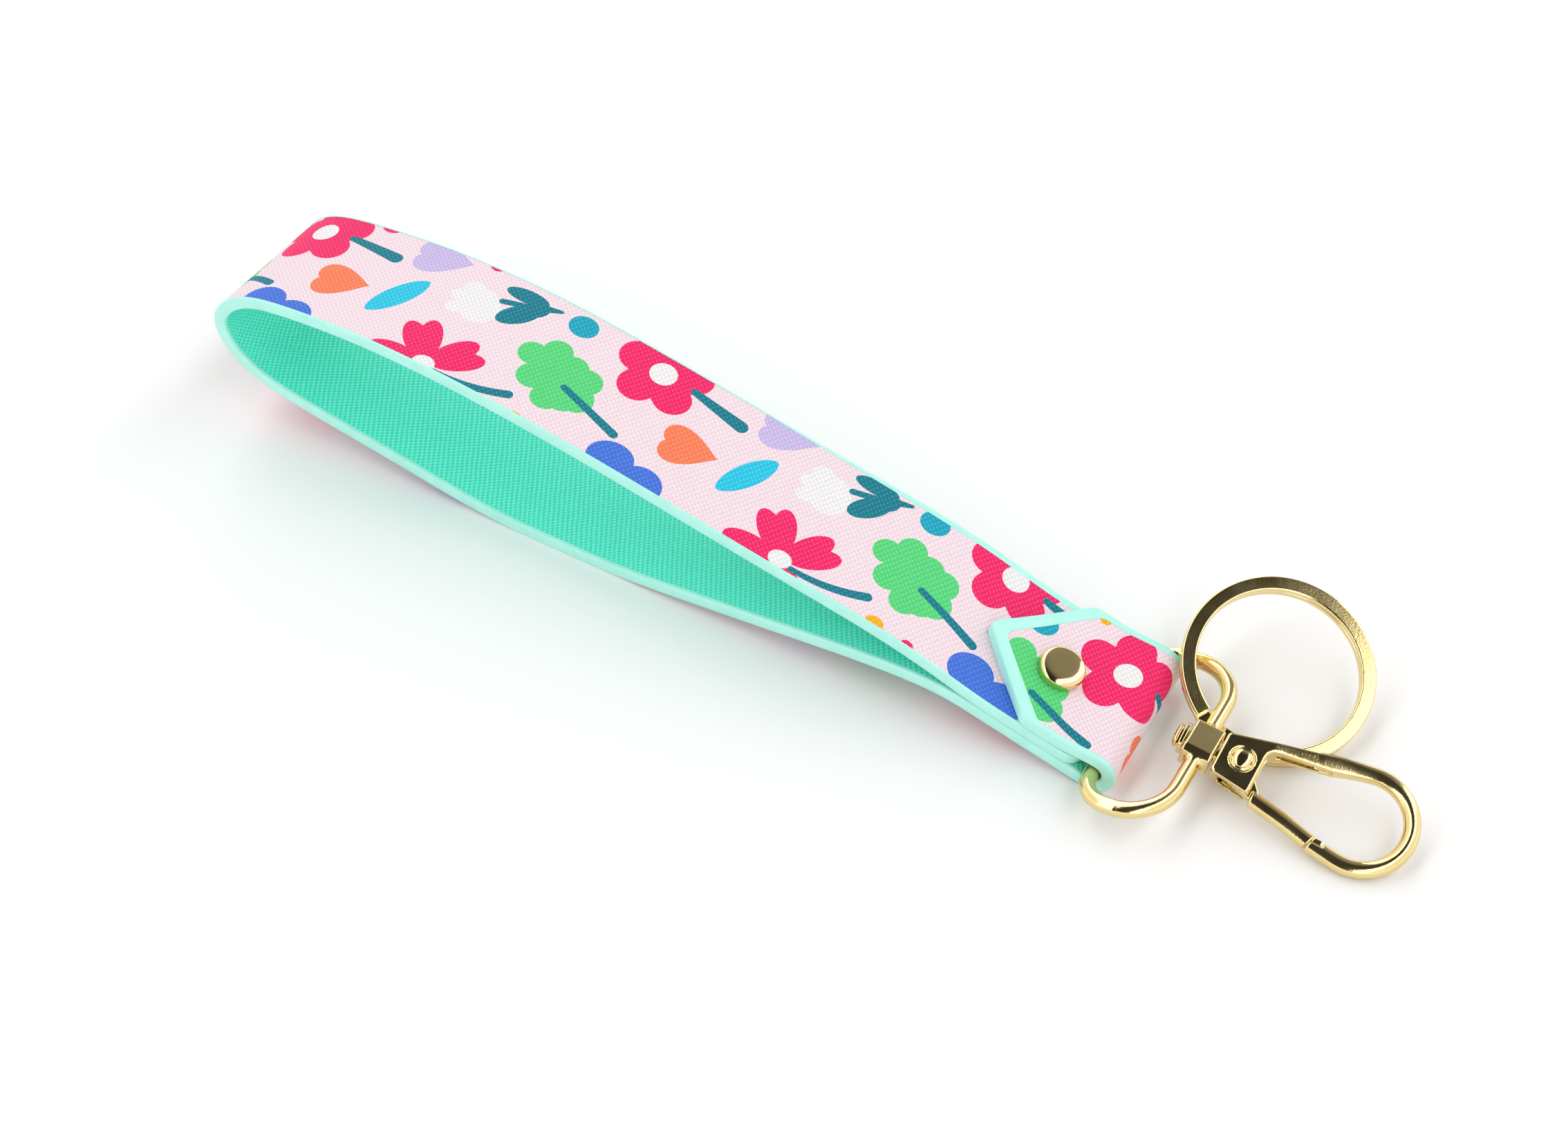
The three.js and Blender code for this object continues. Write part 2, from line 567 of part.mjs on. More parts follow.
const springSteps = 14 * SPRING.turns;
const springRings = Array.from({ length: springSteps + 1 }, (_, i) => {
  const angle = (2 * Math.PI * SPRING.turns * i) / springSteps;
  const rise = SPRING.low + (SPRING.pitch * SPRING.turns * i) / springSteps;
  return Array.from({ length: 6 }, (_, k) => {
    const turn = -(2 * Math.PI * k) / 6;
    const reach = SPRING.radius + SPRING.wire * Math.cos(turn);
    return new THREE.Vector3(reach * Math.cos(angle), reach * Math.sin(angle),
      rise + SPRING.wire * Math.sin(turn));
  });
});
const springBody = loft(springRings).translate(GATE_PIVOT.x, GATE_PIVOT.y, 0);
clasp.add(named('gate_spring', springBody, springMaterial));

// ---- key ring: flat wire wound twice, the two turns joined by a short slope at the cut ----

const RING_STEPS_PER_TURN = 60;
const SLOPE_SHARE = 0.07;
const coilLift = RING.coil / 2 + 0.03;
const ringRings = [];
for (let i = 0; i <= (2 - SLOPE_SHARE) * RING_STEPS_PER_TURN - 1; i++) {
  const turns = i / RING_STEPS_PER_TURN;
  const angle = RING_CUT_ANGLE - 2 * Math.PI * turns;
  const share = THREE.MathUtils.clamp((turns - 1 + SLOPE_SHARE) / SLOPE_SHARE, 0, 1);
  const lift = coilLift * (1 - 2 * THREE.MathUtils.smoothstep(share, 0, 1));
  const inner = RING.outer - RING.width;
  const corner = (radius, side) => new THREE.Vector3(radius * Math.cos(angle), radius * Math.sin(angle),
    lift + (side * RING.coil) / 2);
  ringRings.push([corner(inner, -1), corner(RING.outer, -1), corner(RING.outer, 1), corner(inner, 1)]);
}
const ringHalfHeight = coilLift + RING.coil / 2;
const ringCentreZ = RING.outer * Math.sin(RING_TILT) + ringHalfHeight * Math.cos(RING_TILT) + 0.05;
const ring = new THREE.Group();
ring.position.set(RING.x, RING.y, ringCentreZ);
ring.rotation.z = RING_TILT_HEADING;
const ringTilt = new THREE.Group();
ringTilt.rotation.x = RING_TILT;
ringTilt.add(named('key_ring', loft(ringRings), gold(0.2)));
ring.add(ringTilt);

// ---- the whole, standing on z = 0 with the origin under the middle of its box ----

const keychain = new THREE.Group();
keychain.add(strap, rivet, bail, ring);
keychain.updateMatrixWorld(true);
const box = new THREE.Box3().setFromObject(keychain, true);
const middle = box.getCenter(new THREE.Vector3());
keychain.position.set(-middle.x, -middle.y, -box.min.z);

export default keychain;
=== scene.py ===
# Wristlet keychain: a laminated strap folded into a wrist loop and riveted round a swivel bail,
# with a sprung gate clasp and a split key ring. Lengths below are in millimetres unless a name
# says otherwise, and every piece is turned to metres as its mesh is made.

import json
import math

import bpy
import numpy as np
from mathutils import Matrix, Vector
from mathutils.geometry import delaunay_2d_cdt


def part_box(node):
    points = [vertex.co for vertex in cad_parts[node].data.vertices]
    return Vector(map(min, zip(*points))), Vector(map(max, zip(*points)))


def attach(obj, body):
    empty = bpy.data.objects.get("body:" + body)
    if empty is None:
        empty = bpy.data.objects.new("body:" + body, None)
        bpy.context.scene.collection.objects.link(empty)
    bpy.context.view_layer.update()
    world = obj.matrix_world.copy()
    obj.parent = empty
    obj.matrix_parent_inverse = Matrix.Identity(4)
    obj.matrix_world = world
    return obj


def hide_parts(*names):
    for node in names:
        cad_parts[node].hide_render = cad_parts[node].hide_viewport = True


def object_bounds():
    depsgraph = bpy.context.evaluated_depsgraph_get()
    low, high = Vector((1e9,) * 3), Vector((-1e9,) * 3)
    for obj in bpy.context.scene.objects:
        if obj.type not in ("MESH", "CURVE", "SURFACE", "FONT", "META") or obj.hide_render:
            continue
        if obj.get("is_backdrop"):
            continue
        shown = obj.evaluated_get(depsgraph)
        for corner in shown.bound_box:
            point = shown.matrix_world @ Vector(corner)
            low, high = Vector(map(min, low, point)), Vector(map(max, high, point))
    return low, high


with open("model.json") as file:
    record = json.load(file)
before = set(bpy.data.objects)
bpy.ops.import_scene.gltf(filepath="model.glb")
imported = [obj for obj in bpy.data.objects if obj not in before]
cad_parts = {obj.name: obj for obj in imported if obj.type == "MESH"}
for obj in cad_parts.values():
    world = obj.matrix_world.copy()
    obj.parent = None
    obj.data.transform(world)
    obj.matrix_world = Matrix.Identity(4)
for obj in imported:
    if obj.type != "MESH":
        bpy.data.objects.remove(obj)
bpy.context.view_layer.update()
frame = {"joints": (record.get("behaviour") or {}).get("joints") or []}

# ---- studio: a white sweep under a bright tent ----
# The keychain lies on white paper. Two long softboxes stand left and right of a dark gap overhead,
# so that polished metal shows dark flats and bright flanks, and the shadow stays soft.

WHITE_PAPER = "#ECECEC"
DOME_LEVEL = 1.1
HORIZON_LEVEL = 1.35
GAP_LEVEL = 0.03
BACK_LEVEL = 0.3
SOFTBOX_LEVEL = 2.8
GAP_EDGE = (0.278, 0.295)
SOFTBOX_END = (0.5, 0.6)
BACK_FADE = (0.1, 0.75)
HORIZON_FADE = (0.12, 0.3)
CAMERA_PLACE = (144.107, -298.109, 364.218)
CAMERA_RIGHT = (0.87206, 0.48812, 0.03534)
CAMERA_UP = (-0.38336, 0.63644, 0.66931)
CAMERA_BACK = (0.30421, -0.59722, 0.74214)
CAMERA_LENS = 64.6


def linear(code):
    """sRGB hex to linear: v / 12.92 below 0.04045, else ((v + 0.055) / 1.055) to the power 2.4."""
    values = [int(code[i:i + 2], 16) / 255 for i in (1, 3, 5)]
    return [v / 12.92 if v <= 0.04045 else ((v + 0.055) / 1.055) ** 2.4 for v in values] + [1.0]


def add(tree, kind, links=(), **settings):
    """Adds one shader node: settings are its attributes, or its inputs where the key starts with
    in_, and links joins sockets, or the first outputs of nodes, to its inputs by name or number."""
    node = tree.nodes.new("ShaderNode" + kind)
    for key, value in settings.items():
        if key.startswith("in_"):
            name = key[3:]
            node.inputs[int(name) if name.isdigit() else name.replace("_", " ")].default_value = value
        else:
            setattr(node, key, value)
    for socket, source in dict(links).items():
        first = source.outputs[0] if isinstance(source, bpy.types.Node) else source
        tree.links.new(first, node.inputs[socket])
    return node


def material(name):
    """A new material and its empty node tree."""
    made = bpy.data.materials.new(name)
    made.use_nodes = True
    made.node_tree.nodes.clear()
    return made, made.node_tree


def mesh_piece(name, points, faces, finish, smooth_angle=40):
    """A mesh object at the origin, from points in millimetres in the row frame."""
    mesh = bpy.data.meshes.new(name)
    mesh.from_pydata(np.asarray(points) / 1000, [], faces)
    mesh.polygons.foreach_set("use_smooth", np.ones(len(mesh.polygons), bool))
    mesh.set_sharp_from_angle(angle=math.radians(smooth_angle))
    mesh.materials.append(finish)
    mesh.validate()
    piece = bpy.data.objects.new(name, mesh)
    bpy.context.scene.collection.objects.link(piece)
    return piece


scene = bpy.context.scene
scene.view_settings.view_transform = "Standard"

camera_data = bpy.data.cameras.new("camera")
camera_data.lens = CAMERA_LENS
camera_data.sensor_width = 36
camera_data.clip_start = 0.01
camera = bpy.data.objects.new("camera", camera_data)
turn = Matrix((CAMERA_RIGHT, CAMERA_UP, CAMERA_BACK)).transposed()
camera.matrix_world = Matrix.Translation(Vector(CAMERA_PLACE) / 1000) @ turn.to_4x4()
scene.collection.objects.link(camera)
scene.camera = camera

paper, tree = material("white_paper")
shade = add(tree, "BsdfDiffuse", in_Color=linear(WHITE_PAPER))
add(tree, "OutputMaterial", {"Surface": shade})
floor_half = 2500.0
floor_corners = [(x * floor_half, y * floor_half, 0) for x, y in ((-1, -1), (1, -1), (1, 1), (-1, 1))]
floor = mesh_piece("floor", floor_corners, [(0, 1, 2, 3)], paper)
floor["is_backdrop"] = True

world = bpy.data.worlds.new("tent")
world.use_nodes = True
scene.world = world
tree = world.node_tree
tree.nodes.clear()
direction = add(tree, "TexCoord").outputs["Generated"]
axes = add(tree, "SeparateXYZ", {0: direction})
aside = add(tree, "Math", {0: axes.outputs["X"]}, operation="ABSOLUTE")
gap = add(tree, "MapRange", {"Value": aside}, interpolation_type="SMOOTHSTEP",
          in_From_Min=GAP_EDGE[0], in_From_Max=GAP_EDGE[1])
box_end = add(tree, "MapRange", {"Value": aside}, interpolation_type="SMOOTHSTEP",
              in_From_Min=SOFTBOX_END[0], in_From_Max=SOFTBOX_END[1])
sides = add(tree, "MapRange", {"Value": box_end},
            in_To_Min=SOFTBOX_LEVEL, in_To_Max=DOME_LEVEL)
behind = add(tree, "MapRange", {"Value": axes.outputs["Y"]}, interpolation_type="SMOOTHSTEP",
             in_From_Min=BACK_FADE[0], in_From_Max=BACK_FADE[1],
             in_To_Min=GAP_LEVEL, in_To_Max=BACK_LEVEL)
overhead = add(tree, "Mix", {0: gap, 2: behind, 3: sides})
high = add(tree, "MapRange", {"Value": axes.outputs["Z"]}, interpolation_type="SMOOTHSTEP",
           in_From_Min=HORIZON_FADE[0], in_From_Max=HORIZON_FADE[1])
level = add(tree, "Mix", {0: high, 3: overhead}, in_2=HORIZON_LEVEL)
tent = add(tree, "Background", {"Strength": level}, in_Color=linear("#FFFFFF"))
add(tree, "OutputWorld", {"Surface": tent})

# ---- strap: three sheets glued flat, printed leather outside, a stiffener, mint leather inside ----
# One strip runs from its round front end over the loop, back under it, round the bail's bar and
# forward again as a pointed tab. All three sheets follow one path, each at its own depth.

STRAP_HALF_WIDTH = 14.0
SHEET_DEPTHS = {"strap_outer": (0.0, 0.8), "strap_core": (0.85, 1.45), "strap_lining": (1.5, 2.3)}
STRAP_THICKNESS = 2.3
PLY_STEP = STRAP_THICKNESS + 0.1
FOLD_RADIUS = 4.05
STACK_SLOPE = math.radians(14)
BAR_TO_ORIGIN = 22.0
FRONT_END = -2.4
STACK_END = -18.0
BOTTOM_STACK_END = -23.5
TAB_SETTLED = -8.0
TAB_TIP = -27.0
TAB_POINT_LENGTH = 12.8
TAB_TIP_SIDE = -1.2
RIVET_AT = -13.1
RIVET_SIDE = -1.8
RIVET_HOLE_RADIUS = 1.65
LEAN_FROM, LEAN_TO, LEAN_SLOPE = -135.0, -188.0, 0.06
UPPER_LOOP = [
    (-53, 13.6), (-78, 19.3), (-112, 25.9), (-140, 30.4), (-163, 31.9), (-180, 30.9), (-191.1, 27.4),
    (-195.7, 20.3), (-191.9, 12.5), (-181, 7.8), (-160, 4.0), (-143, 1.0),
]
LOWER_LOOP = [(-100, 1.5), (-78, 4.4), (-60, 6.5)]
RESTING_RUN = ((-130.0, 0.0), (-118.0, 0.0))

joints = {joint["name"]: joint for joint in frame["joints"]}


def joint_place(name):
    return np.array(joints[name]["pos_m"]) * 1000


strap_low, strap_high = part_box("strap_outer")
bar_row = joint_place("bail_swing")
strap_origin = np.array([bar_row[0] + BAR_TO_ORIGIN, (strap_low.y + strap_high.y) * 500, 0.0])
bar_centre = np.array([-BAR_TO_ORIGIN, bar_row[2]])
stack_along = np.array([math.cos(STACK_SLOPE), -math.sin(STACK_SLOPE)])
stack_up = np.array([math.sin(STACK_SLOPE), math.cos(STACK_SLOPE)])


def stack_points(along, up):
    """Points of the riveted stack, from distances along it and heights above the bar's centre."""
    along, up = np.broadcast_arrays(np.atleast_1d(along), up)
    return bar_centre + np.outer(along, stack_along) + np.outer(up, stack_up)


def smooth_run(knots, start_heading, end_heading, step=0.5):
    """A cubic spline through the knots with continuous curvature: its slopes solve the usual
    three-term equations, with the end slopes held to the headings of the straight runs."""
    knots = np.array(knots, float)
    reach = np.concatenate([[0], np.cumsum(np.linalg.norm(np.diff(knots, axis=0), axis=1))])
    span = np.diff(reach)
    count = len(knots)
    matrix = np.zeros((count, count))
    right = np.zeros((count, 2))
    matrix[0, 0] = matrix[-1, -1] = 1
    right[0], right[-1] = start_heading, end_heading
    middle = np.arange(1, count - 1)
    matrix[middle, middle - 1] = span[1:]
    matrix[middle, middle] = 2 * (span[:-1] + span[1:])
    matrix[middle, middle + 1] = span[:-1]
    rate = np.diff(knots, axis=0) / span[:, None]
    right[1:-1] = 3 * (span[1:, None] * rate[:-1] + span[:-1, None] * rate[1:])
    slope = np.linalg.solve(matrix, right)
    at = np.linspace(0, reach[-1], int(reach[-1] / step) + 1)
    k = np.clip(np.searchsorted(reach, at, side="right") - 1, 0, count - 2)
    h = span[k][:, None]
    t = ((at - reach[k]) / span[k])[:, None]
    return ((2 * t**3 - 3 * t**2 + 1) * knots[k] + (t**3 - 2 * t**2 + t) * h * slope[k]
            + (3 * t**2 - 2 * t**3) * knots[k + 1] + (t**3 - t**2) * h * slope[k + 1])


def outward(path):
    """Outward normals of a path: its heading turned a quarter turn clockwise."""
    heading = np.gradient(path, axis=0)
    heading /= np.linalg.norm(heading, axis=1, keepdims=True)
    return np.stack([heading[:, 1], -heading[:, 0]], 1)


def eased(t):
    """Smoothstep from 0 to 1."""
    t = np.clip(t, 0, 1)
    return t * t * (3 - 2 * t)


front_height = STRAP_THICKNESS + PLY_STEP - FOLD_RADIUS
front_run = stack_points(np.linspace(FRONT_END, STACK_END, 33), front_height)
resting = np.array(RESTING_RUN)
flat_heading = np.array([1.0, 0.0])
upper_run = smooth_run([front_run[-1], *UPPER_LOOP, resting[0]], -stack_along, flat_heading)
front_face = np.concatenate([front_run, upper_run[1:]])
resting_face = np.linspace(resting[0], resting[1], 25)[1:]
bottom_start = stack_points(BOTTOM_STACK_END, -FOLD_RADIUS)[0]
lower_run = smooth_run([resting[1], *LOWER_LOOP, bottom_start], flat_heading, stack_along)[1:]
bottom_run = stack_points(np.linspace(BOTTOM_STACK_END, 0, 48)[1:], -FOLD_RADIUS)
fold_turn = np.linspace(-math.pi / 2, math.pi / 2, 60)[1:-1]
fold_face = (bar_centre + FOLD_RADIUS * (np.outer(np.cos(fold_turn), stack_along)
                                         + np.outer(np.sin(fold_turn), stack_up)))
settle = np.linspace(0, TAB_SETTLED, 17)
settled_height = front_height + PLY_STEP
tab_height = FOLD_RADIUS + (settled_height - FOLD_RADIUS) * eased(settle / TAB_SETTLED)
tab_settle = stack_points(settle, tab_height)
raised = front_face + outward(front_face) * PLY_STEP
raised_along = (raised - bar_centre) @ stack_along
tab_rest = raised[(raised_along < TAB_SETTLED - 0.2) & (raised_along > TAB_TIP)]
strap_path = np.concatenate([front_face, resting_face, lower_run, bottom_run, fold_face,
                             tab_settle, tab_rest])
travelled = np.concatenate([[0], np.cumsum(np.linalg.norm(np.diff(strap_path, axis=0), axis=1))])
strap_length = travelled[-1]
path_normals = outward(strap_path)


def on_strap(s, w, height):
    """Row-frame points of the strap: s along its path, w across it, height above the printed face.
    Towards its bend the loop leans, so its far edge lies lower."""
    x, z, normal_x, normal_z = [np.interp(s, travelled, column)
                                for column in (*strap_path.T, *path_normals.T)]
    x = x + normal_x * height
    z = z + normal_z * height
    lean = LEAN_SLOPE * eased((LEAN_FROM - x) / (LEAN_FROM - LEAN_TO))
    return np.stack([x, w + 0 * x, z - lean * (w + STRAP_HALF_WIDTH)], -1) + strap_origin


# Stations along the strip, closer together where it bends.
bend = np.linalg.norm(np.gradient(path_normals, axis=0), axis=1) / np.gradient(travelled)
station_step = np.clip(0.07 / np.maximum(bend, 1e-6), 0.3, 2.0)
station_count = np.concatenate([[0], np.cumsum(np.diff(travelled) / station_step[1:])])
stations = np.interp(np.arange(0, station_count[-1]), station_count, travelled)

# Outline of the strip, as five corners: two at the front end, two shoulders and the tab's tip.
FRONT_CORNER_RADIUS = 3.0
SHOULDER_RADIUS = 2.2
TIP_RADIUS = 1.6
TIP_APEX = 0.6
FRONT_SHARE = 0.3
OUTLINE_SIDE_STEPS = 14
CORNER_STEPS = 8
side_stations = stations[(stations > 5) & (stations < strap_length - TAB_POINT_LENGTH - 5)]


def rounded_corner(before, corner, after, radius):
    """An arc that touches both sides of a corner, its points turned evenly about its centre."""
    to_before = (before - corner) / np.linalg.norm(before - corner)
    to_after = (after - corner) / np.linalg.norm(after - corner)
    half = math.acos(np.clip(to_before @ to_after, -1, 1)) / 2
    middle = to_before + to_after
    centre = corner + middle / np.linalg.norm(middle) * radius / math.sin(half)
    first = corner + to_before * radius / math.tan(half) - centre
    last = corner + to_after * radius / math.tan(half) - centre
    sweep = math.pi - 2 * half
    t = np.linspace(0, 1, CORNER_STEPS + 1)[:, None]
    return centre + (np.sin((1 - t) * sweep) * first + np.sin(t * sweep) * last) / math.sin(sweep)


def strip_outline(near, far, point):
    """The strip's outline drawn in from its edges: near and far are the insets of the long sides at
    each side station, and point is the inset of the tab's two slanted sides and the front end."""
    near = near + 0 * side_stations
    far = far + 0 * side_stations
    slant = math.hypot(TAB_POINT_LENGTH + TIP_APEX, STRAP_HALF_WIDTH)
    near_w = -STRAP_HALF_WIDTH + near
    far_w = STRAP_HALF_WIDTH - far
    tip = np.array([strap_length + TIP_APEX - point * slant / STRAP_HALF_WIDTH, TAB_TIP_SIDE])
    shrink = (TAB_POINT_LENGTH + TIP_APEX) / STRAP_HALF_WIDTH
    back = tip[0] - (TAB_POINT_LENGTH + TIP_APEX)
    front = FRONT_SHARE * point
    corners = np.array([
        (front, near_w[0]), (back + near[-1] * shrink, near_w[-1]), tip,
        (back + far[-1] * shrink, far_w[-1]), (front, far_w[0]),
    ])
    radii = (FRONT_CORNER_RADIUS, SHOULDER_RADIUS, TIP_RADIUS, SHOULDER_RADIUS, FRONT_CORNER_RADIUS)
    arcs = [rounded_corner(corners[k - 1], corners[k], corners[(k + 1) % 5], radii[k]) for k in range(5)]
    steps = np.linspace(0, 1, OUTLINE_SIDE_STEPS + 2)[1:-1, None]
    sides = [arcs[k][-1] + (arcs[(k + 1) % 5][0] - arcs[k][-1]) * steps for k in range(5)]
    sides[0] = np.stack([side_stations, near_w], 1)
    sides[3] = np.stack([side_stations, far_w], 1)[::-1]
    return np.concatenate([part for pair in zip(arcs, sides) for part in pair])


# The print: loose flowers and leaves in a repeat a little askew to the strip. Each motif is made of
# plain outlines in its own axes, p towards the clasp and q towards the far edge.
PRINT_REPEAT = 70.15
PRINT_DRIFT = -1.3
GROUND = "#F8E1E9"
HOT_PINK = "#F8206B"
CORAL = "#FF8258"
LAVENDER = "#CDBDEA"
SOFT_WHITE = "#F4F2F2"
DARK_TEAL = "#007F90"
CYAN = "#22C9E9"
TURQUOISE = "#0BA8C2"
LEAF_GREEN = "#59DA7F"
BLUE = "#4476DE"
YELLOW = "#FDB40C"


def laid_out(along, across, p, q, turn):
    """An outline turned by degrees from p towards q, and moved to (p, q)."""
    c, s = math.cos(math.radians(turn)), math.sin(math.radians(turn))
    return np.stack([p + along * c - across * s, q + along * s + across * c], 1)


def ellipse(p, q, long, short, turn=0.0):
    """An ellipse about (p, q), its long axis turned by degrees from p towards q."""
    angle = np.linspace(0, 2 * math.pi, 32, endpoint=False)
    return laid_out(long * np.cos(angle), short * np.sin(angle), p, q, turn)


def pointed(p, q, long, short, turn):
    """A leaf pointed at both ends: an ellipse whose width also falls with a power of its sine."""
    angle = np.linspace(0, 2 * math.pi, 36, endpoint=False)
    across = short * np.sin(angle) * np.abs(np.sin(angle)) ** 0.2
    return laid_out(long * np.cos(angle), across, p, q, turn)


def stalk(start, end, width_start, width_end, sag=0.0):
    """A stalk with round ends along a parabola that sags to one side of its chord."""
    start, end = np.array(start, float), np.array(end, float)
    t = np.linspace(0, 1, 12)[:, None]
    along = (end - start) / np.linalg.norm(end - start)
    across = np.array([-along[1], along[0]])
    line = start + (end - start) * t + across * sag * 4 * t * (1 - t)
    half = (width_start + (width_end - width_start) * t) / 2
    turn = np.linspace(-math.pi / 2, math.pi / 2, 8)[1:-1, None]
    cap_end = end + (along * np.cos(turn) + across * np.sin(turn)) * width_end / 2
    cap_start = start - (along * np.cos(turn) + across * np.sin(turn)) * width_start / 2
    return np.concatenate([line - across * half, cap_end, (line + across * half)[::-1], cap_start])


def heart(p, q, length, width, turn):
    """A soft heart: a cubed sine across, and a sum of cosines along with its point at the front."""
    angle = np.linspace(0, 2 * math.pi, 40, endpoint=False)
    across = np.sin(angle) ** 3 * width / 2
    along = -(13 * np.cos(angle) - 3.6 * np.cos(2 * angle) - 1.4 * np.cos(3 * angle)) * length / 26
    return laid_out(along, across, p, q, turn)


def blossom(p, q, reach, lobe, petals, turn):
    """Round petals in a ring: the far wall of circles of radius lobe that stand at reach."""
    angle = np.linspace(0, 2 * math.pi, 16 * petals, endpoint=False)
    pitch = 2 * math.pi / petals
    off = (angle - math.radians(turn) + pitch / 2) % pitch - pitch / 2
    radius = reach * np.cos(off) + np.sqrt(np.maximum(lobe**2 - (reach * np.sin(off)) ** 2, 0))
    return np.stack([p + radius * np.cos(angle), q + radius * np.sin(angle)], 1)


def daisy(p, q, size):
    """Five notched petals, each a pair of ellipses spread a little to both sides of its axis."""
    shapes = []
    for turn in (48, 124, 196, 250, 304):
        for side in (-1, 1):
            angle = math.radians(turn + 10 * side)
            middle_p = p + size * 0.58 * math.cos(angle)
            middle_q = q + size * 0.58 * math.sin(angle)
            shapes.append(ellipse(middle_p, middle_q, size * 0.48, size * 0.23, turn + 13 * side))
    return shapes


def lobed_leaf(p, q):
    """Eight round lobes about a slanting midrib, filled by one long ellipse."""
    lobes = [(-6.3, 2.2, 2.6), (-2.9, 5.0, 2.7), (-3.6, -2.2, 2.8), (1.2, 3.4, 2.8),
             (4.6, 2.2, 2.9), (0.8, -4.9, 2.7), (5.2, -2.0, 3.1), (3.2, -3.4, 2.9)]
    return [ellipse(p - 0.4, q + 0.2, 6.0, 3.6, -22)] + [ellipse(p + a, q + b, r, r) for a, b, r in lobes]


def print_motifs():
    """One repeat of the print: (place along, place across, colour, outlines), lowest layer first."""
    return [
        (25.4, 11.0, HOT_PINK, [blossom(0, 0, 5.5, 3.55, 5, 172)]),
        (25.4, 11.0, DARK_TEAL, [stalk((6.4, 0.0), (16.6, -1.5), 1.5, 2.6)]),
        (25.4, 11.0, SOFT_WHITE, [ellipse(0, 0, 2.5, 2.5)]),
        (39.5, -1.2, LEAF_GREEN, lobed_leaf(0, 0)),
        (39.5, -1.2, DARK_TEAL, [stalk((2.2, -1.1), (14.3, -4.7), 1.3, 1.7)]),
        (14.3, -0.5, CORAL, [heart(0, 0, 10.6, 8.6, 12)]),
        (2.65, 1.1, CYAN, [pointed(0, 0, 6.5, 2.3, 64)]),
        (2.0, 13.4, LAVENDER, [heart(0, 0, 11.2, 8.6, 12)]),
        (60.3, 5.2, SOFT_WHITE, [ellipse(0.9, 0.0, 3.7, 4.3, 20), ellipse(-2.0, 3.1, 2.2, 1.9, -20),
                                 ellipse(-3.3, 0.6, 1.9, 1.5), ellipse(-2.3, -2.2, 2.2, 1.6, 30)]),
        (60.3, 5.2, DARK_TEAL, [ellipse(7.6, 1.9, 4.1, 2.1, 48), ellipse(6.7, 6.6, 4.2, 1.6, 2),
                                stalk((3.6, 3.2), (9.4, 5.0), 1.3, 1.3), ellipse(9.5, 4.8, 2.5, 1.9, 40),
                                stalk((11.0, 6.0), (13.4, 6.9), 1.6, 0.8)]),
        (42.0, 11.5, TURQUOISE, [ellipse(0, 0, 2.75, 2.5)]),
        (59.6, -11.9, HOT_PINK, daisy(0, 0, 10.0)),
        (59.6, -11.9, DARK_TEAL, [stalk((2.3, -0.6), (15.6, 2.4), 1.1, 1.8, -0.9)]),
        (59.6, -11.9, SOFT_WHITE, [ellipse(0, 0, 2.1, 1.8)]),
        (22.7, -10.3, BLUE, [ellipse(-0.3, -0.2, 4.2, 3.6, 15), ellipse(6.3, -2.2, 4.3, 4.0, 30),
                             ellipse(1.8, -5.0, 4.4, 3.2)]),
        (40.6, -13.3, YELLOW, [ellipse(0, 0, 1.7, 1.4)]),
        (34.1, -13.6, HOT_PINK, [ellipse(0, 0, 1.2, 1.0)]),
        (33.5, 19.0, YELLOW, [ellipse(0, 0, 1.0, 0.9)]),
        (14.4, 16.6, HOT_PINK, [ellipse(0, 0, 1.9, 1.3)]),
        (62.1, 15.2, HOT_PINK, [ellipse(0, 0, 1.3, 1.0)]),
    ]


def print_regions():
    """Every motif of the whole strip, as (colour, outline) in strip coordinates."""
    regions = []
    for k in range(-1, int(strap_length / PRINT_REPEAT) + 2):
        for s, w, colour, outlines in print_motifs():
            start = (s + k * PRINT_REPEAT, w + k * PRINT_DRIFT)
            for outline in outlines:
                laid = outline * (-1, 1) + start
                ahead = np.roll(laid, -1, axis=0)
                if (laid[:, 0] * ahead[:, 1] - ahead[:, 0] * laid[:, 1]).sum() < 0:
                    laid = laid[::-1]
                across = laid[:, 1].min() < STRAP_HALF_WIDTH and laid[:, 1].max() > -STRAP_HALF_WIDTH
                if across and laid[:, 0].max() > 0 and laid[:, 0].min() < strap_length:
                    regions.append((colour, laid))
    return regions


hole_turn = np.linspace(0, 2 * math.pi, 24, endpoint=False)
hole_shape = RIVET_HOLE_RADIUS * np.stack([np.cos(hole_turn), np.sin(hole_turn)], 1)
bottom_end = strap_length - (travelled[-1] - travelled[len(front_face) + len(resting_face)
                                                       + len(lower_run) + len(bottom_run) - 1])
hole_places = (FRONT_END - RIVET_AT, bottom_end + RIVET_AT, strap_length - (RIVET_AT - TAB_TIP))
holes = [hole_shape + (place, RIVET_SIDE) for place in hole_places]
ACROSS_ROWS = np.linspace(-STRAP_HALF_WIDTH, STRAP_HALF_WIDTH, 9)
SHEET_INSET = 0.3
MERGE_DISTANCE = 1e-4


